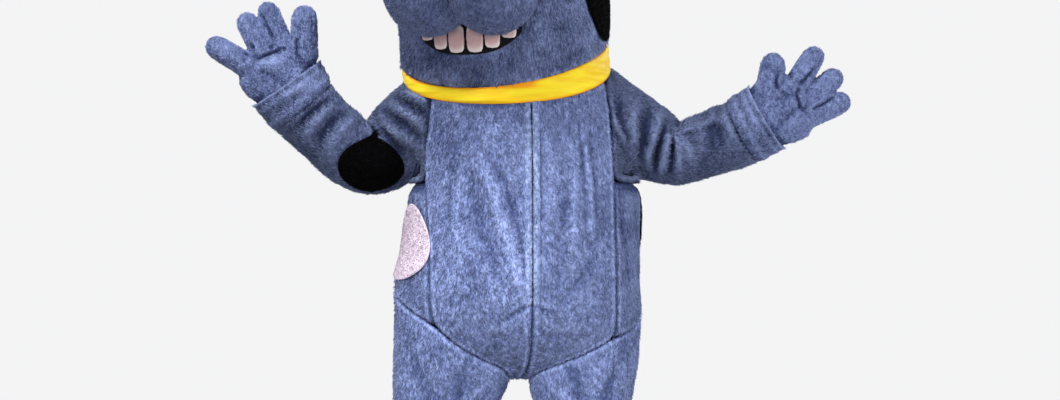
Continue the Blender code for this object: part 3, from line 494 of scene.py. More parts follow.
ZIP_PIECES = ["zip_welt_right", "zip_welt_left", "zip_tape"]
FRONT_RIGHT_CREASES = [
    Crease((-0.095, -0.27, -0.14), (-0.035, -0.28, -0.29), (0.02, -0.28, -0.488), 0.0048, 0.011),
    Crease((-0.062, -0.27, -0.14), (-0.002, -0.28, -0.27), (0.026, -0.28, -0.43), -0.0043, 0.01),
    Crease((-0.128, -0.26, -0.165), (-0.075, -0.28, -0.33), (-0.002, -0.28, -0.49), -0.0033, 0.014),
    Crease((-0.142, -0.26, -0.13), (-0.152, -0.27, -0.26), (-0.14, -0.27, -0.40), 0.0028, 0.011),
    Crease((-0.165, -0.25, -0.11), (-0.178, -0.26, -0.23), (-0.168, -0.26, -0.36), -0.0023, 0.009),
    Crease((-0.105, -0.25, -0.03), (-0.13, -0.25, -0.09), (-0.175, -0.25, -0.15), -0.0026, 0.012),
    Crease((-0.04, -0.25, -0.04), (-0.06, -0.26, -0.09), (-0.115, -0.26, -0.14), 0.0023, 0.012),
    Crease((0.038, -0.28, -0.495), (0.012, -0.27, -0.512), (-0.03, -0.26, -0.53), -0.0036, 0.007),
    Crease((0.03, -0.26, -0.52), (-0.02, -0.26, -0.55), (-0.10, -0.24, -0.56), 0.002, 0.013),
    Crease((-0.06, -0.28, -0.42), (-0.11, -0.28, -0.48), (-0.18, -0.26, -0.50), -0.002, 0.014),
    Crease((-0.005, -0.28, -0.33), (0.01, -0.28, -0.40), (0.024, -0.28, -0.48), 0.0026, 0.008),
]
FRONT_LEFT_CREASES = [
    Crease((0.06, -0.27, -0.06), (0.064, -0.28, -0.18), (0.058, -0.28, -0.32), -0.0026, 0.008),
    Crease((0.085, -0.27, -0.09), (0.092, -0.28, -0.21), (0.08, -0.28, -0.34), 0.0023, 0.01),
    Crease((0.118, -0.25, -0.15), (0.124, -0.27, -0.30), (0.105, -0.27, -0.45), -0.0026, 0.014),
    Crease((0.146, -0.25, -0.12), (0.152, -0.27, -0.26), (0.14, -0.27, -0.43), 0.0023, 0.011),
    Crease((0.168, -0.23, -0.07), (0.176, -0.25, -0.19), (0.178, -0.25, -0.34), -0.0031, 0.008),
    Crease((0.185, -0.23, -0.06), (0.194, -0.25, -0.19), (0.197, -0.25, -0.36), 0.0031, 0.008),
    Crease((0.20, -0.22, -0.05), (0.211, -0.25, -0.17), (0.216, -0.25, -0.34), -0.0031, 0.008),
    Crease((0.046, -0.28, -0.495), (0.07, -0.27, -0.512), (0.115, -0.26, -0.52), -0.0036, 0.007),
    Crease((0.225, -0.24, -0.30), (0.17, -0.27, -0.43), (0.08, -0.28, -0.50), -0.0026, 0.014),
    Crease((0.06, -0.26, -0.53), (0.11, -0.26, -0.56), (0.18, -0.25, -0.555), 0.002, 0.013),
]
front_plush = blue_plush("front_plush")
# Painted shade on the front's pile just under the neck band
FRONT_WORK = dict(wave=0.0014, painted_shade_beside=["neck_band"], clear_of=ZIP_PIECES + ["neck_band", "patch_hip"])
dressed("front_right", 3, (0.30, 0.80), FRONT_RIGHT_CREASES, downwards, front_plush, area=0.175, **FRONT_WORK)
dressed("front_left", 3, (0.28, 0.80), FRONT_LEFT_CREASES, downwards, front_plush, area=0.150, **FRONT_WORK)


# Side panels and back
# The suit closes round the wearer with a panel under each arm and one whole back panel. They are cut
# from the same plush and sewn from the armhole to the leg. Slack cloth hangs in long soft folds there.
# In each side's list the first crease pulls the panel's top edge in under the arm, and its trough also gets
# painted shade
SIDE_RIGHT_CREASES = [
    Crease((-0.205, -0.21, -0.202), (-0.255, -0.05, -0.202), (-0.215, 0.15, -0.202), -0.016, 0.022),
    Crease((-0.215, -0.20, -0.20), (-0.235, -0.17, -0.33), (-0.24, -0.15, -0.48), -0.004, 0.014),
    Crease((-0.24, -0.10, -0.23), (-0.265, -0.06, -0.36), (-0.262, -0.04, -0.52), -0.005, 0.016),
    Crease((-0.235, 0.00, -0.24), (-0.26, 0.03, -0.37), (-0.25, 0.06, -0.47), 0.0035, 0.015),
]
SIDE_LEFT_CREASES = [
    Crease((0.215, -0.21, -0.196), (0.275, -0.05, -0.196), (0.235, 0.15, -0.196), -0.016, 0.022),
    Crease((0.235, -0.19, -0.19), (0.262, -0.16, -0.32), (0.275, -0.13, -0.47), -0.0045, 0.013),
    Crease((0.245, -0.09, -0.22), (0.29, -0.06, -0.35), (0.295, -0.02, -0.50), -0.004, 0.016),
    Crease((0.255, 0.02, -0.23), (0.28, 0.05, -0.34), (0.27, 0.09, -0.45), 0.0035, 0.014),
]
BACK_CREASES = [
    Crease((-0.12, 0.18, -0.12), (-0.08, 0.22, -0.26), (-0.03, 0.22, -0.42), -0.005, 0.018),
    Crease((-0.075, 0.19, -0.14), (-0.03, 0.22, -0.28), (0.02, 0.22, -0.40), 0.0045, 0.016),
    Crease((0.15, 0.17, -0.11), (0.12, 0.21, -0.23), (0.06, 0.22, -0.39), -0.0045, 0.017),
    Crease((0.105, 0.18, -0.15), (0.08, 0.22, -0.26), (0.05, 0.22, -0.35), 0.004, 0.015),
    Crease((-0.23, 0.13, -0.47), (-0.10, 0.21, -0.51), (0.04, 0.22, -0.49), -0.0045, 0.017),
    Crease((0.24, 0.12, -0.50), (0.13, 0.20, -0.545), (0.01, 0.22, -0.53), 0.004, 0.018),
    Crease((-0.18, 0.16, -0.58), (-0.06, 0.21, -0.62), (0.08, 0.20, -0.60), -0.004, 0.016),
    Crease((-0.06, 0.12, -0.01), (-0.01, 0.17, -0.07), (0.04, 0.17, -0.08), -0.0035, 0.014),
]
# Under each arm the top edge turns in further, with deeper painted shade
UNDER_ARM = End((0.0, 0.0, -0.225), (0.0, 0.0, 1.0), 1.6)
hidden_plush = blue_plush("side_and_back_plush")
dressed("side_right", 3, (0.26, 0.56), SIDE_RIGHT_CREASES, downwards, hidden_plush, area=0.096,
        clear_of=["patch_hip"], ends=[UNDER_ARM])
dressed("side_left", 3, (0.29, 0.56), SIDE_LEFT_CREASES, downwards, hidden_plush, area=0.118,
        clear_of=["patch_flank"], ends=[UNDER_ARM])
# Painted shade on the back's pile just under the neck band
dressed("back", 2, (0.62, 0.86), BACK_CREASES, downwards, hidden_plush, area=0.370, spacing=0.0055,
        painted_shade_beside=["neck_band"])


# Legs
# Two wide plush tubes with plain open hems, sewn to the body low on the hips. The cloth stands off
# the wearer and hangs in a few shallow folds.
LEG_RIGHT_CREASES = [
    Crease((-0.27, -0.11, -0.56), (-0.23, -0.15, -0.68), (-0.20, -0.16, -0.83), -0.004, 0.018),
    Crease((-0.12, -0.19, -0.65), (-0.13, -0.18, -0.72), (-0.15, -0.17, -0.80), -0.0035, 0.016),
    Crease((-0.06, -0.16, -0.69), (-0.11, -0.17, -0.76), (-0.19, -0.16, -0.80), 0.0035, 0.016),
    Crease((-0.24, -0.12, -0.90), (-0.19, -0.14, -1.02), (-0.14, -0.14, -1.18), -0.0045, 0.018),
    Crease((-0.11, -0.12, -0.95), (-0.13, -0.13, -1.08), (-0.18, -0.13, -1.20), 0.004, 0.016),
    Crease((-0.26, 0.10, -0.80), (-0.20, 0.14, -0.95), (-0.15, 0.14, -1.12), -0.0045, 0.018),
    Crease((-0.12, 0.13, -0.86), (-0.18, 0.15, -1.01), (-0.23, 0.12, -1.15), 0.004, 0.017),
    Crease((-0.30, 0.00, -0.85), (-0.31, 0.02, -1.00), (-0.30, 0.03, -1.18), -0.004, 0.017),
]
LEG_LEFT_CREASES = [
    Crease((0.275, -0.11, -0.56), (0.24, -0.15, -0.69), (0.215, -0.16, -0.82), -0.004, 0.017),
    Crease((0.14, -0.18, -0.64), (0.15, -0.18, -0.72), (0.16, -0.17, -0.81), -0.0035, 0.016),
    Crease((0.075, -0.16, -0.69), (0.13, -0.17, -0.75), (0.22, -0.15, -0.79), 0.0035, 0.016),
    Crease((0.25, -0.11, -0.88), (0.20, -0.14, -1.01), (0.15, -0.14, -1.15), -0.0045, 0.018),
    Crease((0.12, -0.12, -0.98), (0.15, -0.13, -1.10), (0.19, -0.13, -1.23), 0.004, 0.016),
    Crease((0.26, 0.10, -0.82), (0.20, 0.14, -0.96), (0.14, 0.13, -1.10), -0.0045, 0.018),
    Crease((0.11, 0.12, -0.84), (0.17, 0.14, -1.00), (0.23, 0.12, -1.16), 0.004, 0.017),
    Crease((0.305, 0.00, -0.84), (0.31, 0.02, -0.99), (0.30, 0.03, -1.16), -0.004, 0.017),
]
LEG_PILE = dict(spacing=0.0065, length=0.0095, root=0.0018)
# Painted light: the legs' copy of the plush is 1.15 times brighter
leg_plush = blue_plush("leg_plush", 1.15)
dressed("leg_right", 2, (0.92, 0.86), LEG_RIGHT_CREASES, downwards, leg_plush, area=0.665,
        inside=(-0.18, 0.0, -1.0), **LEG_PILE)
dressed("leg_left", 2, (0.90, 0.84), LEG_LEFT_CREASES, downwards, leg_plush, area=0.610,
        inside=(0.174, 0.0, -1.0), **LEG_PILE)


# Sleeves
# Raglan sleeves of the same plush, cut with the shoulder in one piece up to the neckline. Both arms
# are bent, so the cloth bunches in deep folds inside each elbow and fans out from the armpits.
ARM_RIGHT = [(-0.100, 0.0, 0.02), (-0.205, 0.0, -0.060), (-0.302, 0.004, -0.122), (-0.336, 0.0, -0.149),
             (-0.373, -0.008, -0.147), (-0.414, -0.020, -0.126), (-0.467, -0.036, -0.076),
             (-0.523, -0.052, -0.020), (-0.562, -0.062, 0.037), (-0.600, -0.08, 0.10)]
ARM_LEFT = [(0.110, 0.0, 0.02), (0.232, 0.0, -0.060), (0.302, 0.004, -0.091), (0.345, 0.004, -0.113),
            (0.384, 0.0, -0.139), (0.427, -0.008, -0.132), (0.488, -0.024, -0.108),
            (0.563, -0.048, -0.080), (0.620, -0.062, -0.047), (0.690, -0.08, -0.005)]
ELBOW_RIGHT, ELBOW_LEFT = ARM_RIGHT[4], ARM_LEFT[5]
NAP_BLEND = 0.03


def along_arm(line):
    """The nap of a sleeve: towards the hand, beside the nearest part of the arm."""
    line = np.array(line)
    middles = (line[1:] + line[:-1]) / 2
    ways = unit(line[1:] - line[:-1])

    def nap(points):
        away = np.linalg.norm(points[:, None] - middles[None], axis=2)
        share = np.exp(-(away - away.min(1, keepdims=True)) / NAP_BLEND)
        return unit((share[:, :, None] * ways[None]).sum(1) + (0.0, 0.0, -0.25))
    return nap


SLEEVE_RIGHT_CREASES = [
    Crease((-0.285, -0.06, 0.03), (-0.245, -0.12, 0.005), (-0.20, -0.16, -0.01), 0.008, 0.009),
    Crease((-0.30, -0.06, 0.012), (-0.255, -0.12, -0.02), (-0.212, -0.16, -0.045), -0.0105, 0.009),
    Crease((-0.308, -0.06, -0.008), (-0.262, -0.12, -0.042), (-0.218, -0.15, -0.075), 0.009, 0.009),
    Crease((-0.315, -0.06, -0.03), (-0.272, -0.11, -0.066), (-0.226, -0.14, -0.105), -0.0115, 0.009),
    Crease((-0.325, -0.06, -0.052), (-0.285, -0.10, -0.09), (-0.24, -0.12, -0.13), 0.009, 0.009),
    Crease((-0.333, -0.06, -0.066), (-0.30, -0.10, -0.112), (-0.262, -0.10, -0.16), -0.011, 0.009),
    Crease((-0.17, -0.15, 0.02), (-0.196, -0.17, -0.05), (-0.214, -0.17, -0.13), -0.006, 0.008),
    Crease((-0.40, -0.07, -0.058), (-0.432, -0.11, -0.092), (-0.45, -0.11, -0.15), 0.007, 0.011),
    Crease((-0.418, -0.08, -0.044), (-0.455, -0.12, -0.072), (-0.48, -0.11, -0.13), -0.008, 0.01),
    Crease((-0.437, -0.09, -0.024), (-0.476, -0.12, -0.05), (-0.508, -0.11, -0.104), 0.0065, 0.01),
    Crease((-0.455, -0.10, -0.008), (-0.49, -0.13, -0.034), (-0.532, -0.12, -0.08), -0.0085, 0.009),
    Crease((-0.47, -0.11, 0.006), (-0.506, -0.13, -0.016), (-0.552, -0.12, -0.056), 0.006, 0.009),
    Crease((-0.482, -0.12, 0.018), (-0.52, -0.14, -0.002), (-0.566, -0.12, -0.04), -0.007, 0.008),
    Crease((-0.35, 0.08, -0.08), (-0.39, 0.07, -0.15), (-0.42, 0.03, -0.20), -0.008, 0.012),
    Crease((-0.25, 0.10, -0.01), (-0.30, 0.09, -0.09), (-0.34, 0.06, -0.19), 0.007, 0.013),
    Crease((-0.16, 0.14, 0.02), (-0.215, 0.14, -0.06), (-0.24, 0.12, -0.15), -0.008, 0.013),
    Crease((-0.46, 0.04, -0.02), (-0.50, 0.03, -0.07), (-0.52, -0.01, -0.11), -0.006, 0.012),
]
SLEEVE_LEFT_CREASES = [
    Crease((0.205, -0.16, 0.03), (0.222, -0.17, -0.035), (0.24, -0.16, -0.115), -0.006, 0.008),
    Crease((0.236, -0.14, 0.02), (0.244, -0.15, -0.04), (0.268, -0.13, -0.105), 0.0085, 0.009),
    Crease((0.265, -0.10, 0.012), (0.264, -0.13, -0.045), (0.288, -0.11, -0.12), -0.01, 0.009),
    Crease((0.30, -0.07, -0.008), (0.29, -0.11, -0.062), (0.30, -0.10, -0.135), 0.0085, 0.009),
    Crease((0.325, -0.05, -0.03), (0.312, -0.09, -0.082), (0.313, -0.09, -0.16), -0.012, 0.009),
    Crease((0.346, -0.04, -0.052), (0.333, -0.08, -0.108), (0.323, -0.08, -0.182), 0.01, 0.009),
    Crease((0.362, -0.04, -0.066), (0.352, -0.08, -0.122), (0.34, -0.07, -0.195), -0.014, 0.007),
    Crease((0.374, -0.04, -0.07), (0.369, -0.08, -0.128), (0.355, -0.07, -0.20), 0.01, 0.008),
    Crease((0.38, -0.05, -0.072), (0.388, -0.08, -0.126), (0.376, -0.06, -0.198), -0.013, 0.0065),
    Crease((0.386, -0.05, -0.074), (0.404, -0.08, -0.13), (0.40, -0.06, -0.19), 0.006, 0.008),
    Crease((0.222, -0.15, 0.00), (0.252, -0.15, -0.08), (0.29, -0.11, -0.16), -0.008, 0.007),
    Crease((0.292, -0.08, -0.196), (0.301, -0.03, -0.193), (0.306, 0.02, -0.192), 0.0095, 0.012),
    Crease((0.33, -0.06, -0.034), (0.322, -0.09, -0.09), (0.338, -0.09, -0.14), -0.007, 0.006),
    Crease((0.386, -0.08, -0.082), (0.448, -0.11, -0.066), (0.516, -0.12, -0.036), -0.0036, 0.006),
    Crease((0.376, -0.07, -0.076), (0.448, -0.10, -0.05), (0.524, -0.11, -0.03), 0.0055, 0.009),
    Crease((0.44, -0.10, -0.06), (0.452, -0.11, -0.095), (0.446, -0.10, -0.15), 0.004, 0.01),
    Crease((0.462, -0.10, -0.052), (0.47, -0.12, -0.085), (0.48, -0.11, -0.14), -0.0045, 0.009),
    Crease((0.40, -0.08, -0.09), (0.425, -0.10, -0.13), (0.432, -0.08, -0.18), 0.006, 0.01),
    Crease((0.478, -0.10, -0.048), (0.49, -0.12, -0.075), (0.506, -0.11, -0.12), -0.0065, 0.009),
    Crease((0.505, -0.10, -0.045), (0.52, -0.12, -0.075), (0.545, -0.11, -0.118), 0.006, 0.009),
    Crease((0.528, -0.10, -0.045), (0.542, -0.12, -0.08), (0.56, -0.10, -0.125), -0.007, 0.008),
    Crease((0.36, 0.08, -0.08), (0.40, 0.07, -0.14), (0.43, 0.03, -0.19), -0.008, 0.012),
    Crease((0.27, 0.09, -0.01), (0.31, 0.08, -0.09), (0.34, 0.05, -0.17), 0.007, 0.013),
    Crease((0.175, 0.14, 0.03), (0.225, 0.14, -0.06), (0.25, 0.11, -0.14), -0.008, 0.013),
    Crease((0.47, 0.04, -0.05), (0.51, 0.02, -0.09), (0.54, -0.01, -0.13), -0.006, 0.012),
]
# Painted shade on the sleeves' pile beside the neck band
SLEEVE_WORK = dict(rim_width=0.0056, painted_shade_beside=["neck_band"], spacing=0.0049, length=0.0105, root=0.0016)
IN_CUFF_RIGHT = End((-0.500, -0.045, -0.043), (-0.62, -0.15, 0.77), 0.0)
IN_CUFF_LEFT = End((0.530, -0.036, -0.095), (0.90, -0.20, 0.38), 0.0)
# Painted shade: the sleeves' copy of the plush is at 0.54 of its brightness
sleeve_plush = blue_plush("sleeve_plush", 0.54)
dressed("sleeve_right", 2, (0.52, 0.66), SLEEVE_RIGHT_CREASES, along_arm(ARM_RIGHT), sleeve_plush, area=0.265,
        inside=ELBOW_RIGHT, ends=[IN_CUFF_RIGHT], clear_of=["patch_elbow", "neck_band"], **SLEEVE_WORK)
dressed("sleeve_left", 2, (0.50, 0.66), SLEEVE_LEFT_CREASES, along_arm(ARM_LEFT), sleeve_plush, area=0.253,
        inside=ELBOW_LEFT, ends=[IN_CUFF_LEFT], clear_of=["neck_band"], **SLEEVE_WORK)


# Cuffs
# The right sleeve ends in a broad turn-up, and the left one in a narrower hem. Each is a band of
# plush folded back and sewn round the sleeve, so its free edge stands up a little.
CUFF_RIGHT_CREASES = [
    Crease((-0.47, -0.12, 0.03), (-0.52, -0.15, 0.02), (-0.57, -0.13, -0.01), 0.003, 0.012),
    Crease((-0.50, -0.13, 0.06), (-0.54, -0.15, 0.04), (-0.60, -0.12, 0.01), -0.0025, 0.01),
]
CUFF_LEFT_CREASES = [
    Crease((0.56, -0.12, -0.01), (0.58, -0.13, -0.06), (0.59, -0.12, -0.11), 0.0025, 0.01),
]
# Each cuff's free edge turns out, so it rises and gets painted highlight; its other edge turns in a little,
# with light painted shade
CUFF_RIGHT_EDGES = [End((-0.545, -0.058, 0.010), (-0.55, -0.15, 0.80), -0.9),
                    End((-0.545, -0.058, 0.010), (0.55, 0.15, -0.80), 0.2)]
CUFF_LEFT_EDGES = [End((0.592, -0.055, -0.064), (0.86, -0.20, 0.45), -0.9),
                   End((0.592, -0.055, -0.064), (-0.86, 0.20, -0.45), 0.2)]
CUFF_WORK = dict(held="folded", seam=0.0035, seam_width=0.013, wave=0.0016)
# Painted shade: the cuffs' copy of the plush is at 0.78 of its brightness
cuff_plush = blue_plush("cuff_plush", 0.78)
dressed("cuff_right", 3, (0.55, 0.080), CUFF_RIGHT_CREASES, along_arm(ARM_RIGHT), cuff_plush,
        inside=(-0.55, -0.058, 0.02), ends=CUFF_RIGHT_EDGES, **CUFF_WORK)
dressed("cuff_left", 3, (0.52, 0.075), CUFF_LEFT_CREASES, along_arm(ARM_LEFT), cuff_plush,
        inside=(0.60, -0.055, -0.06), ends=CUFF_LEFT_EDGES, **CUFF_WORK)


# Gloves
# Loose plush gloves with three thick fingers and a thumb, sewn from two layers. They are not fitted,
# so each finger ends plump and round, and deep creases part the fingers and cross the palm.
GLOVE_GRID = 0.0038
GLOVE_ROUNDING = 5
GLOVE_WAVE = 0.0014
# How far from the cuff the glove gets painted shade
GLOVE_CUFF_SHADE_REACH = 0.022
GLOVE_PILE = dict(spacing=0.0040, length=0.0060, root=0.0012)
# Deep narrow troughs between the fingers and across the palm, which also get painted shade as dark lines
GLOVE_RIGHT_CREASES = [
    Crease((-0.652, -0.14, 0.098), (-0.599, -0.15, 0.11), (-0.54, -0.14, 0.14), -0.0105, 0.0048),
    Crease((-0.54, -0.15, 0.138), (-0.543, -0.15, 0.11), (-0.526, -0.14, 0.083), -0.0095, 0.0048),
    Crease((-0.631, -0.10, 0.20), (-0.61, -0.12, 0.16), (-0.59, -0.13, 0.122), -0.013, 0.0048),
    Crease((-0.655, -0.10, 0.13), (-0.645, -0.12, 0.112), (-0.628, -0.14, 0.096), -0.007, 0.006),
    Crease((-0.64, -0.13, 0.06), (-0.60, -0.15, 0.05), (-0.56, -0.15, 0.03), -0.004, 0.008),
    Crease((-0.632, -0.14, 0.088), (-0.59, -0.15, 0.086), (-0.552, -0.15, 0.10), 0.0045, 0.012),
    Crease((-0.631, 0.00, 0.20), (-0.61, -0.02, 0.16), (-0.59, 0.00, 0.122), -0.009, 0.006),
    Crease((-0.66, 0.00, 0.095), (-0.61, 0.01, 0.112), (-0.545, 0.0, 0.14), -0.006, 0.008),
]
GLOVE_LEFT_CREASES = [
    Crease((0.708, -0.14, 0.045), (0.697, -0.15, -0.01), (0.716, -0.14, -0.042), -0.011, 0.0048),
    Crease((0.648, -0.14, 0.06), (0.645, -0.15, 0.034), (0.664, -0.15, 0.008), -0.0095, 0.0048),
    Crease((0.75, -0.10, 0.078), (0.725, -0.12, 0.052), (0.704, -0.14, 0.03), -0.011, 0.0048),
    Crease((0.782, -0.11, 0.016), (0.748, -0.13, 0.00), (0.715, -0.14, -0.03), -0.011, 0.0048),
    Crease((0.628, -0.14, -0.01), (0.65, -0.15, 0.004), (0.69, -0.15, 0.01), -0.004, 0.007),
    Crease((0.64, -0.14, -0.075), (0.672, -0.15, -0.05), (0.695, -0.15, -0.03), -0.0035, 0.008),
    Crease((0.75, 0.00, 0.078), (0.725, -0.01, 0.052), (0.704, 0.00, 0.03), -0.008, 0.006),
    Crease((0.735, 0.00, -0.04), (0.705, 0.01, 0.005), (0.665, 0.0, 0.045), -0.006, 0.008),
]


def remeshed(name, bm, size, smoothing):
    """A closed form made again in even faces of a size, with its joins rounded."""
    return piece(name, bm, ("REMESH", {"mode": "VOXEL", "voxel_size": size}),
                 ("SMOOTH", {"factor": 0.5, "iterations": smoothing}))


def glove(node, inside, wrist, wrist_way, creases, nap, cuff):
    """A glove in place of its solid, made in even faces and cut open again at the wrist."""
    bm = outer_side(node, inside)
    bmesh.ops.holes_fill(bm, edges=bm.edges[:], sides=0)
    ob = remeshed(node + "_cloth", bm, GLOVE_GRID, GLOVE_ROUNDING)
    bm = bmesh.new()
    bm.from_mesh(ob.data)
    bmesh.ops.bisect_plane(bm, geom=bm.verts[:] + bm.edges[:] + bm.faces[:], plane_co=wrist,
                           plane_no=wrist_way, clear_inner=True)
    bm.to_mesh(ob.data)
    bm.free()
    ob.data.shade_smooth()
    worked(ob, creases, GLOVE_WAVE, seam=0.0, painted_shade_beside=[cuff], painted_shade_reach=GLOVE_CUFF_SHADE_REACH)
    tufts = pile(ob, nap, glove_plush, **GLOVE_PILE)
    cloth_wall(ob, PLUSH)
    finished(ob, node, glove_plush)


# Painted shade: the gloves' copy of the plush is at 0.95 of its brightness
glove_plush = blue_plush("glove_plush", 0.95)
glove("glove_right", (-0.58, -0.07, 0.063), (-0.536, -0.057, 0.002), (-0.55, -0.12, 0.80),
      GLOVE_RIGHT_CREASES, along_arm(ARM_RIGHT), "cuff_right")
glove("glove_left", (0.646, -0.07, -0.031), (0.582, -0.055, -0.070), (0.80, -0.12, 0.45),
      GLOVE_LEFT_CREASES, along_arm(ARM_LEFT), "cuff_left")


# Zip
# A coil zip closes the front. It is hidden between two raised welts of plush, so only the dark gap
# of its tape shows, with the coil in it and a small dark metal slider at the top.
WELT_FILL = 0.0014
WELT_WAVE = 0.0008
WELT_PILE = dict(spacing=0.0030, length=0.0045, root=0.0010, lean=0.6)
# Painted highlight: the welts' copy of the plush is 1.45 times brighter
welt_plush = blue_plush("welt_plush", 1.45)
COIL_PITCH = 0.0030
COIL_TOOTH = (0.0022, 0.0010, 0.0008)
COIL_APART = 0.0008
COIL_PROUD = 0.0004
COIL_MARGIN = 0.004
TAPE_THREADS = 420.0
for node in ("zip_welt_right", "zip_welt_left"):
    welt = piece(node + "_cloth", solid_of(node), smoother(2))
    worked(welt, wave=WELT_WAVE, seam=0.0)
    put_points(welt.data, points_of(welt.data) + normals_of(welt.data) * WELT_FILL)
    tufts = pile(welt, downwards, welt_plush, **WELT_PILE)
    finished(welt, node, welt_plush)

tape = Finish("zip_tape_cloth", 0.85, Specular_IOR_Level=0.2)
threads = tape.node("TexWave", {"bands_direction": "Z"}, {"Vector": tape.place, "Scale": TAPE_THREADS})
tape.colour(tape.blend(shade((0.006, 0.007, 0.012)), shade((0.020, 0.022, 0.034)), threads))
tape.relief(threads, 0.0005)
tape_piece = piece("zip_tape_cloth", solid_of("zip_tape"), ("BEVEL", {"width": 0.0003, "segments": 2}))
finished(tape_piece, "zip_tape", tape.material)

tape_tree = solid_tree("zip_tape")
tape_low, tape_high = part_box("zip_tape")
coil_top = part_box("zip_slider")[0][2] - COIL_MARGIN
coil = bmesh.new()
z = tape_low[2] + COIL_MARGIN
while z < coil_top:
    hits = [tape_tree.ray_cast(Vector((x, -1.0, z)), Vector((0.0, 1.0, 0.0)))[0]
            for x in np.linspace(tape_low[0], tape_high[0], 40)]
    hits = [hit for hit in hits if hit]
    middle = sum(hits, Vector()) / max(len(hits), 1)
    for side in (-1, 1):
        for vert in bmesh.ops.create_cube(coil, size=1.0)["verts"]:
            vert.co = Vector([part * size for part, size in zip(vert.co, COIL_TOOTH)]) + middle
            vert.co += Vector((side * COIL_APART, -COIL_PROUD, side * COIL_PITCH / 4))
    z += COIL_PITCH
nylon = Finish("zip_coil_nylon", 0.45)
nylon.colour(nylon.blend(shade((0.008, 0.009, 0.014)), shade((0.030, 0.032, 0.045)), nylon.grain(900.0)))
coil_piece = piece("zip_coil", coil, ("BEVEL", {"width": 0.0002, "segments": 1}))
coil_piece.data.materials.append(nylon.material)
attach(coil_piece, "root")

nickel = Finish("dark_nickel", 0.38, Metallic=1.0)
wear = nickel.grain(600.0, 4.0)
nickel.colour(nickel.blend(shade((0.10, 0.105, 0.115)), shade((0.30, 0.31, 0.33)), wear))
nickel.feed(nickel.shader.inputs["Roughness"], wear * 0.25 + 0.26)
slider = piece("zip_slider_metal", solid_of("zip_slider"), ("BEVEL", {"width": 0.0004, "segments": 2}))
finished(slider, "zip_slider", nickel.material)


# Neck band
# A gathered tube of stretch satin round the neck, under the chin, with its edges turned in. The
# satin is pulled round the neck, so its wrinkles run along the band.
BAND_WRINKLE = 0.0022
BAND_TURN = 0.003
BAND_THICKNESS = 0.002
BAND_MIDDLE = ((-0.25, -0.10, 0.06, 0.22), (0.034, 0.012, 0.016, 0.060))
satin = Finish("yellow_satin", 0.50, Sheen_Weight=0.06, Sheen_Roughness=0.3,
               Sheen_Tint=shade((1.0, 0.9, 0.5)), Specular_IOR_Level=0.18)
satin_folds = satin.grain(14.0, 3.0, satin.stretched(0.5, 0.5, 3.0))
satin_weave = satin.grain(1400.0, 1.0)
# Painted light and shade on the satin's wrinkles: paler and deeper yellow along the same waves that raise
# them
satin_painted_wrinkle_light = satin.blend(shade((0.90, 0.58, 0.010)), shade((0.98, 0.76, 0.022)),
                        satin_folds.between(0.30, 0.60))
# Painted shade in orange, where the band carries it
satin.colour(satin.blend(satin_painted_wrinkle_light, shade((0.90, 0.34, 0.004)), satin.carried("deep")))
satin.feed(satin.shader.inputs["Roughness"], satin_weave * 0.15 + 0.45)
satin.relief(satin_weave * 0.3 + satin_folds, 0.0012, 0.5)

band = piece("neck_band_cloth", outer_side("neck_band", (0.0, 0.0, 0.05)), smoother(3))
band_points = points_of(band.data)
wrinkle = []
for x, y, z in band_points:
    turn = math.atan2(y, x)
    wide = Vector((math.cos(turn) * 1.6, math.sin(turn) * 1.6, z * 70.0 + 0.7 * turn))
    fine = Vector((math.cos(turn) * 3.1, math.sin(turn) * 3.1, z * 120.0 + 9.0))
    wrinkle.append(noise.noise(wide) + 0.6 * noise.noise(fine))
edge = edge_distance(band.data)
lift = BAND_WRINKLE * np.array(wrinkle) * ease(edge / 0.008) - BAND_TURN * (1 - ease(edge / 0.012)) ** 2
# Painted shade: the upper half of the band's front under the chin, its turned edges and its wrinkle troughs
middle = np.interp(band_points[:, 0], *BAND_MIDDLE)
high = ease((band_points[:, 2] - middle + 0.003) / 0.010)
front = ease((0.17 - abs(band_points[:, 0] + 0.10)) / 0.05) * ease(-band_points[:, 1] / 0.06)
turned = (1 - ease(edge / 0.006)) * 0.6
carry(band.data, "deep", np.clip(1.3 * high * front + turned - 0.30 * lift / BAND_WRINKLE, 0, 1))
put_points(band.data, band_points + normals_of(band.data) * lift[:, None])
cloth_wall(band, BAND_THICKNESS)
finished(band, "neck_band", satin.material)


# Head
# A hollow head of soft foam over a light frame, covered in plush, with two stuffed muzzle pads and
# two round ears sewn on. The photo cuts it off above the mouth, so its upper half is a plain
# generic one.
HEAD_MIDDLE = (-0.0275, 0.0, 0.30)
HEAD_FOAM = 0.006
PAD_GRID = 0.006
PAD_ROUNDING = 5
PAD_WAVE = 0.0016
FACE_TOP = np.array((0.06, -0.40, 0.42))


def down_and_back(points):
    """The nap of the head: from the middle of the face round to the back, and down."""
    return unit(points - FACE_TOP + (0.0, 0.0, -0.25))


HEAD_CREASES = [
    Crease((-0.21, -0.14, 0.12), (-0.17, -0.19, 0.08), (-0.10, -0.20, 0.06), -0.0035, 0.014),
    Crease((0.14, -0.15, 0.11), (0.11, -0.19, 0.08), (0.06, -0.20, 0.06), -0.0035, 0.014),
    Crease((-0.23, -0.10, 0.20), (-0.22, -0.12, 0.15), (-0.19, -0.13, 0.09), 0.003, 0.014),
]
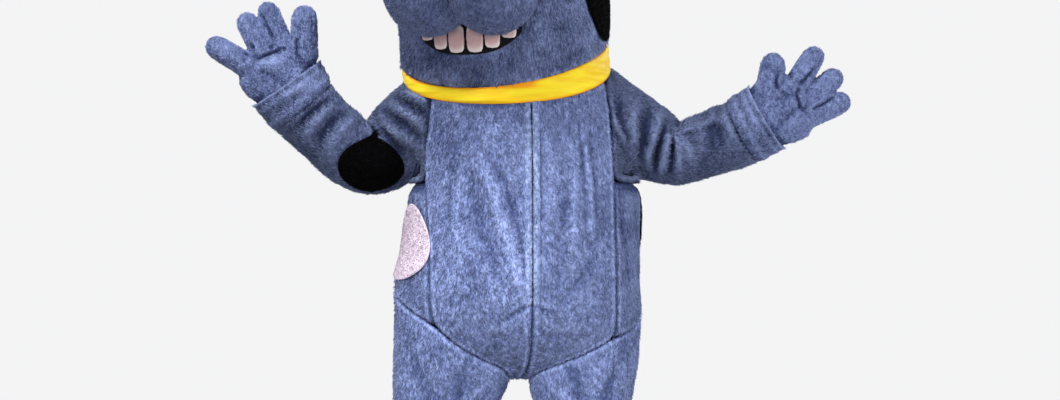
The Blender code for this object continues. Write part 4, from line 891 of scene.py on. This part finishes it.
# Painted shade: the head's copy of the plush is at 0.85 of its brightness
head_plush = blue_plush("head_plush", 0.85)
dressed("head_shell", 2, (1.02, 1.02), HEAD_CREASES, down_and_back, head_plush, inside=HEAD_MIDDLE,
        area=0.790, held="stretched", wave=0.0045, seam=0.004, spacing=0.0055, length=0.0125, root=0.0019,
        thickness=HEAD_FOAM, clear_of=["neck_band", "mouth", "patch_head"], reach=0.009)
for node in ("muzzle_right", "muzzle_left", "ear_right", "ear_left"):
    pad = remeshed(node + "_pad", solid_of(node), PAD_GRID, PAD_ROUNDING)
    worked(pad, wave=PAD_WAVE, seam=0.0)
    pile(pad, down_and_back, head_plush)
    finished(pad, node, head_plush)


# Mouth and teeth
# A mouth piece of black felt below the muzzle, with six stuffed teeth of smooth pale pink cloth sewn
# on it side by side. Black felt shows round them as a lip and as thin lines between them.
TOOTH_GRID = 0.0014
TOOTH_SWELL = 0.0022
TOOTH_FILL = 0.0010
felt = Finish("black_felt", 0.95, Sheen_Weight=0.10, Sheen_Roughness=0.5, Specular_IOR_Level=0.1)
fibres = felt.grain(700.0, 3.0)
felt.colour(felt.blend(shade((0.0022, 0.0022, 0.0028)), shade((0.011, 0.011, 0.014)), fibres))
felt.relief(fibres, 0.0008, 0.7)
mouth = piece("mouth_felt", solid_of("mouth"), smoother(2))
finished(mouth, "mouth", felt.material)

tooth_cloth = Finish("tooth_cloth", 0.62, Sheen_Weight=0.15, Sheen_Roughness=0.4, Specular_IOR_Level=0.25)
tooth_grain = tooth_cloth.grain(90.0, 3.0)
tooth_weave = tooth_cloth.grain(1100.0, 1.0)
tooth_body = tooth_cloth.blend(shade((0.60, 0.36, 0.37)), shade((0.74, 0.52, 0.53)), tooth_grain)
tooth_rim = tooth_cloth.carried("rim").between(0.25, 0.80)
tooth_cloth.colour(tooth_cloth.blend(tooth_body, shade((0.86, 0.72, 0.71)), tooth_rim))
tooth_cloth.relief(tooth_weave * 0.3 + tooth_grain, 0.0010, 0.4)
for number in range(1, 7):
    node = "tooth_%d" % number
    tooth = remeshed(node + "_pad", solid_of(node), TOOTH_GRID, PAD_ROUNDING)
    points, normals = points_of(tooth.data), normals_of(tooth.data)
    front = unit(normals[normals[:, 1] < -0.3].mean(0)[None])[0]
    facing = normals @ front
    offset = points - points[facing > 0.5].mean(0)
    spread = np.linalg.norm(offset - np.outer(offset @ front, front), axis=1)
    spread /= spread.max()
    swell = np.clip(1 - (spread / 0.95) ** 2, 0, 1) * np.clip(facing, 0, 1)
    put_points(tooth.data, points + front[None] * (TOOTH_SWELL * swell)[:, None] + normals * TOOTH_FILL)
    carry(tooth.data, "rim", spread ** 2)
    finished(tooth, node, tooth_cloth.material)


# Nose and eyes
# A moulded nose and two oval eyes with plain dark pupils. The photo doesn't show them, so they are
# of a plain kind, in gloss and satin plastic.
gloss = Finish("nose_plastic", 0.25, Coat_Weight=0.4, Coat_Roughness=0.15)
pores = gloss.grain(260.0, 3.0)
gloss.colour(gloss.blend(shade((0.004, 0.004, 0.005)), shade((0.014, 0.014, 0.017)), pores))
gloss.feed(gloss.shader.inputs["Roughness"], pores * 0.15 + 0.18)
gloss.relief(pores, 0.0006, 0.3)
white = Finish("eye_plastic", 0.35, Coat_Weight=0.3, Coat_Roughness=0.2)
cloud = white.grain(40.0)
white.colour(white.blend(shade((0.74, 0.74, 0.72)), shade((0.84, 0.84, 0.82)), cloud))
white.feed(white.shader.inputs["Roughness"], cloud * 0.1 + 0.30)
for node, slot, finish in (("nose", "nose_black", gloss), ("pupil_right", "nose_black", gloss),
                           ("pupil_left", "nose_black", gloss), ("eye_right", "eye_white", white),
                           ("eye_left", "eye_white", white)):
    finished(piece(node + "_plastic", solid_of(node), smoother(2)), node, finish.material)


# Coat patches
# Patches of black plush at the cheek, flank and elbow and one of pale pink plush at the hip, laid on
# the suit with a sewn edge. The pink pile is short and matt.
PATCH_WORK = dict(held="laid", wave=0.0008, seam=0.0, thickness=0.002)
PATCH_PILE = dict(spacing=0.0040, length=0.0060, root=0.0012)
PINK_PILE = dict(spacing=0.0034, length=0.0042, root=0.0010, lean=0.8)
patch_black = plush_finish("black_plush", (0.0006, 0.0006, 0.0008), (0.0035, 0.0036, 0.0044),
                           sheen=0.015, tint=(1.0, 1.0, 1.0), shine=0.02)
pink = plush_finish("pink_plush", (0.66, 0.55, 0.67), (0.78, 0.68, 0.79), sheen=0.10, tint=(1.0, 0.95, 1.0))
dressed("patch_head", 2, (0.28, 0.34), (), down_and_back, patch_black, "black_plush", HEAD_MIDDLE,
        area=0.063, rests_on=["head_shell"], **PATCH_WORK, **PATCH_PILE)
dressed("patch_flank", 2, (0.12, 0.21), (), downwards, patch_black, "black_plush", SUIT_MIDDLE,
        area=0.0205, rests_on=["side_left"], **PATCH_WORK, **PATCH_PILE)
dressed("patch_elbow", 2, (0.19, 0.16), (), along_arm(ARM_RIGHT), patch_black, "black_plush", ELBOW_RIGHT,
        area=0.0200, rim_width=0.0022, rests_on=["sleeve_right"], **PATCH_WORK, **PATCH_PILE)
dressed("patch_hip", 2, (0.20, 0.25), (), downwards, pink, "pink_plush", SUIT_MIDDLE,
        area=0.0335, rests_on=["side_right"], **PATCH_WORK, **PINK_PILE)


# Studio
# A plain pale floor under soft boxes and one soft spot on the belly, in a surround that is paler
# behind the suit than round it. The camera looks level at the belly, as the photo's does.
FLOOR_Z = -1.365
FLOOR_LOW, FLOOR_HIGH = (-4.0, -5.0), (4.0, 3.6)
CAMERA_PLACE = (0.0375, -4.6, -0.25)
VIEW_WIDTH = 2.65
SENSOR = 36.0
SURROUND_COLOUR = (0.94, 0.94, 0.95, 1.0)
SURROUND_STRENGTH = {"From Min": 0.90, "From Max": 0.95, "To Min": 0.34, "To Max": 0.96}
Lamp = namedtuple("Lamp", "name kind place towards settings")
LAMPS = [
    Lamp("key", "AREA", (-1.6, -2.0, 2.9), (0.0, 0.0, -0.3), dict(size=1.1, energy=136.0)),
    Lamp("fill", "AREA", (3.0, -2.0, 0.5), (0.0, 0.0, -0.3), dict(size=1.8, energy=62.0)),
    Lamp("beam", "SPOT", (-1.3, -3.9, 0.7), (-0.02, -0.2, -0.52),
         dict(energy=760.0, spot_size=math.radians(15.5), spot_blend=1.0, shadow_soft_size=0.35)),
    Lamp("rim_right", "AREA", (-2.4, 2.2, 1.6), (0.0, 0.0, -0.2), dict(size=1.2, energy=22.0)),
    Lamp("rim_left", "AREA", (2.4, 2.2, 1.6), (0.0, 0.0, -0.2), dict(size=1.2, energy=34.0)),
]

floor_mesh = bpy.data.meshes.new("floor")
corners = [(x, y, FLOOR_Z) for x, y in (FLOOR_LOW, (FLOOR_HIGH[0], FLOOR_LOW[1]), FLOOR_HIGH,
                                        (FLOOR_LOW[0], FLOOR_HIGH[1]))]
floor_mesh.from_pydata(corners, [], [(0, 1, 2, 3)])
paper = Finish("floor_paper", 0.9)
paper.colour(paper.blend(shade((0.60, 0.60, 0.60)), shade((0.64, 0.64, 0.64)), paper.grain(3.0)))
floor_mesh.materials.append(paper.material)
placed("floor", floor_mesh)

for lamp in LAMPS:
    light = bpy.data.lights.new(lamp.name, lamp.kind)
    for key, value in lamp.settings.items():
        setattr(light, key, value)
    ob = placed(lamp.name, light)
    ob.location = lamp.place
    ob.rotation_euler = (Vector(lamp.towards) - Vector(lamp.place)).to_track_quat("-Z", "Y").to_euler()

world = bpy.data.worlds.new("surround")
bpy.context.scene.world = world
world.use_nodes = True
ground = world.node_tree.nodes["Background"]
ground.inputs["Color"].default_value = SURROUND_COLOUR
way = world.node_tree.nodes.new("ShaderNodeTexCoord")
parts = world.node_tree.nodes.new("ShaderNodeSeparateXYZ")
behind = world.node_tree.nodes.new("ShaderNodeMapRange")
behind.interpolation_type = "SMOOTHSTEP"
for key, value in SURROUND_STRENGTH.items():
    behind.inputs[key].default_value = value
for start, end in ((way.outputs["Generated"], parts.inputs[0]), (parts.outputs["Y"], behind.inputs["Value"]),
                   (behind.outputs["Result"], ground.inputs["Strength"])):
    world.node_tree.links.new(start, end)

camera_data = bpy.data.cameras.new("camera")
camera_data.sensor_width = SENSOR
camera_data.lens = SENSOR * -CAMERA_PLACE[1] / VIEW_WIDTH
camera = placed("camera", camera_data)
camera.location = CAMERA_PLACE
camera.rotation_euler = (math.radians(90), 0.0, 0.0)
bpy.context.scene.camera = camera
bpy.context.scene.view_settings.view_transform = "Standard"
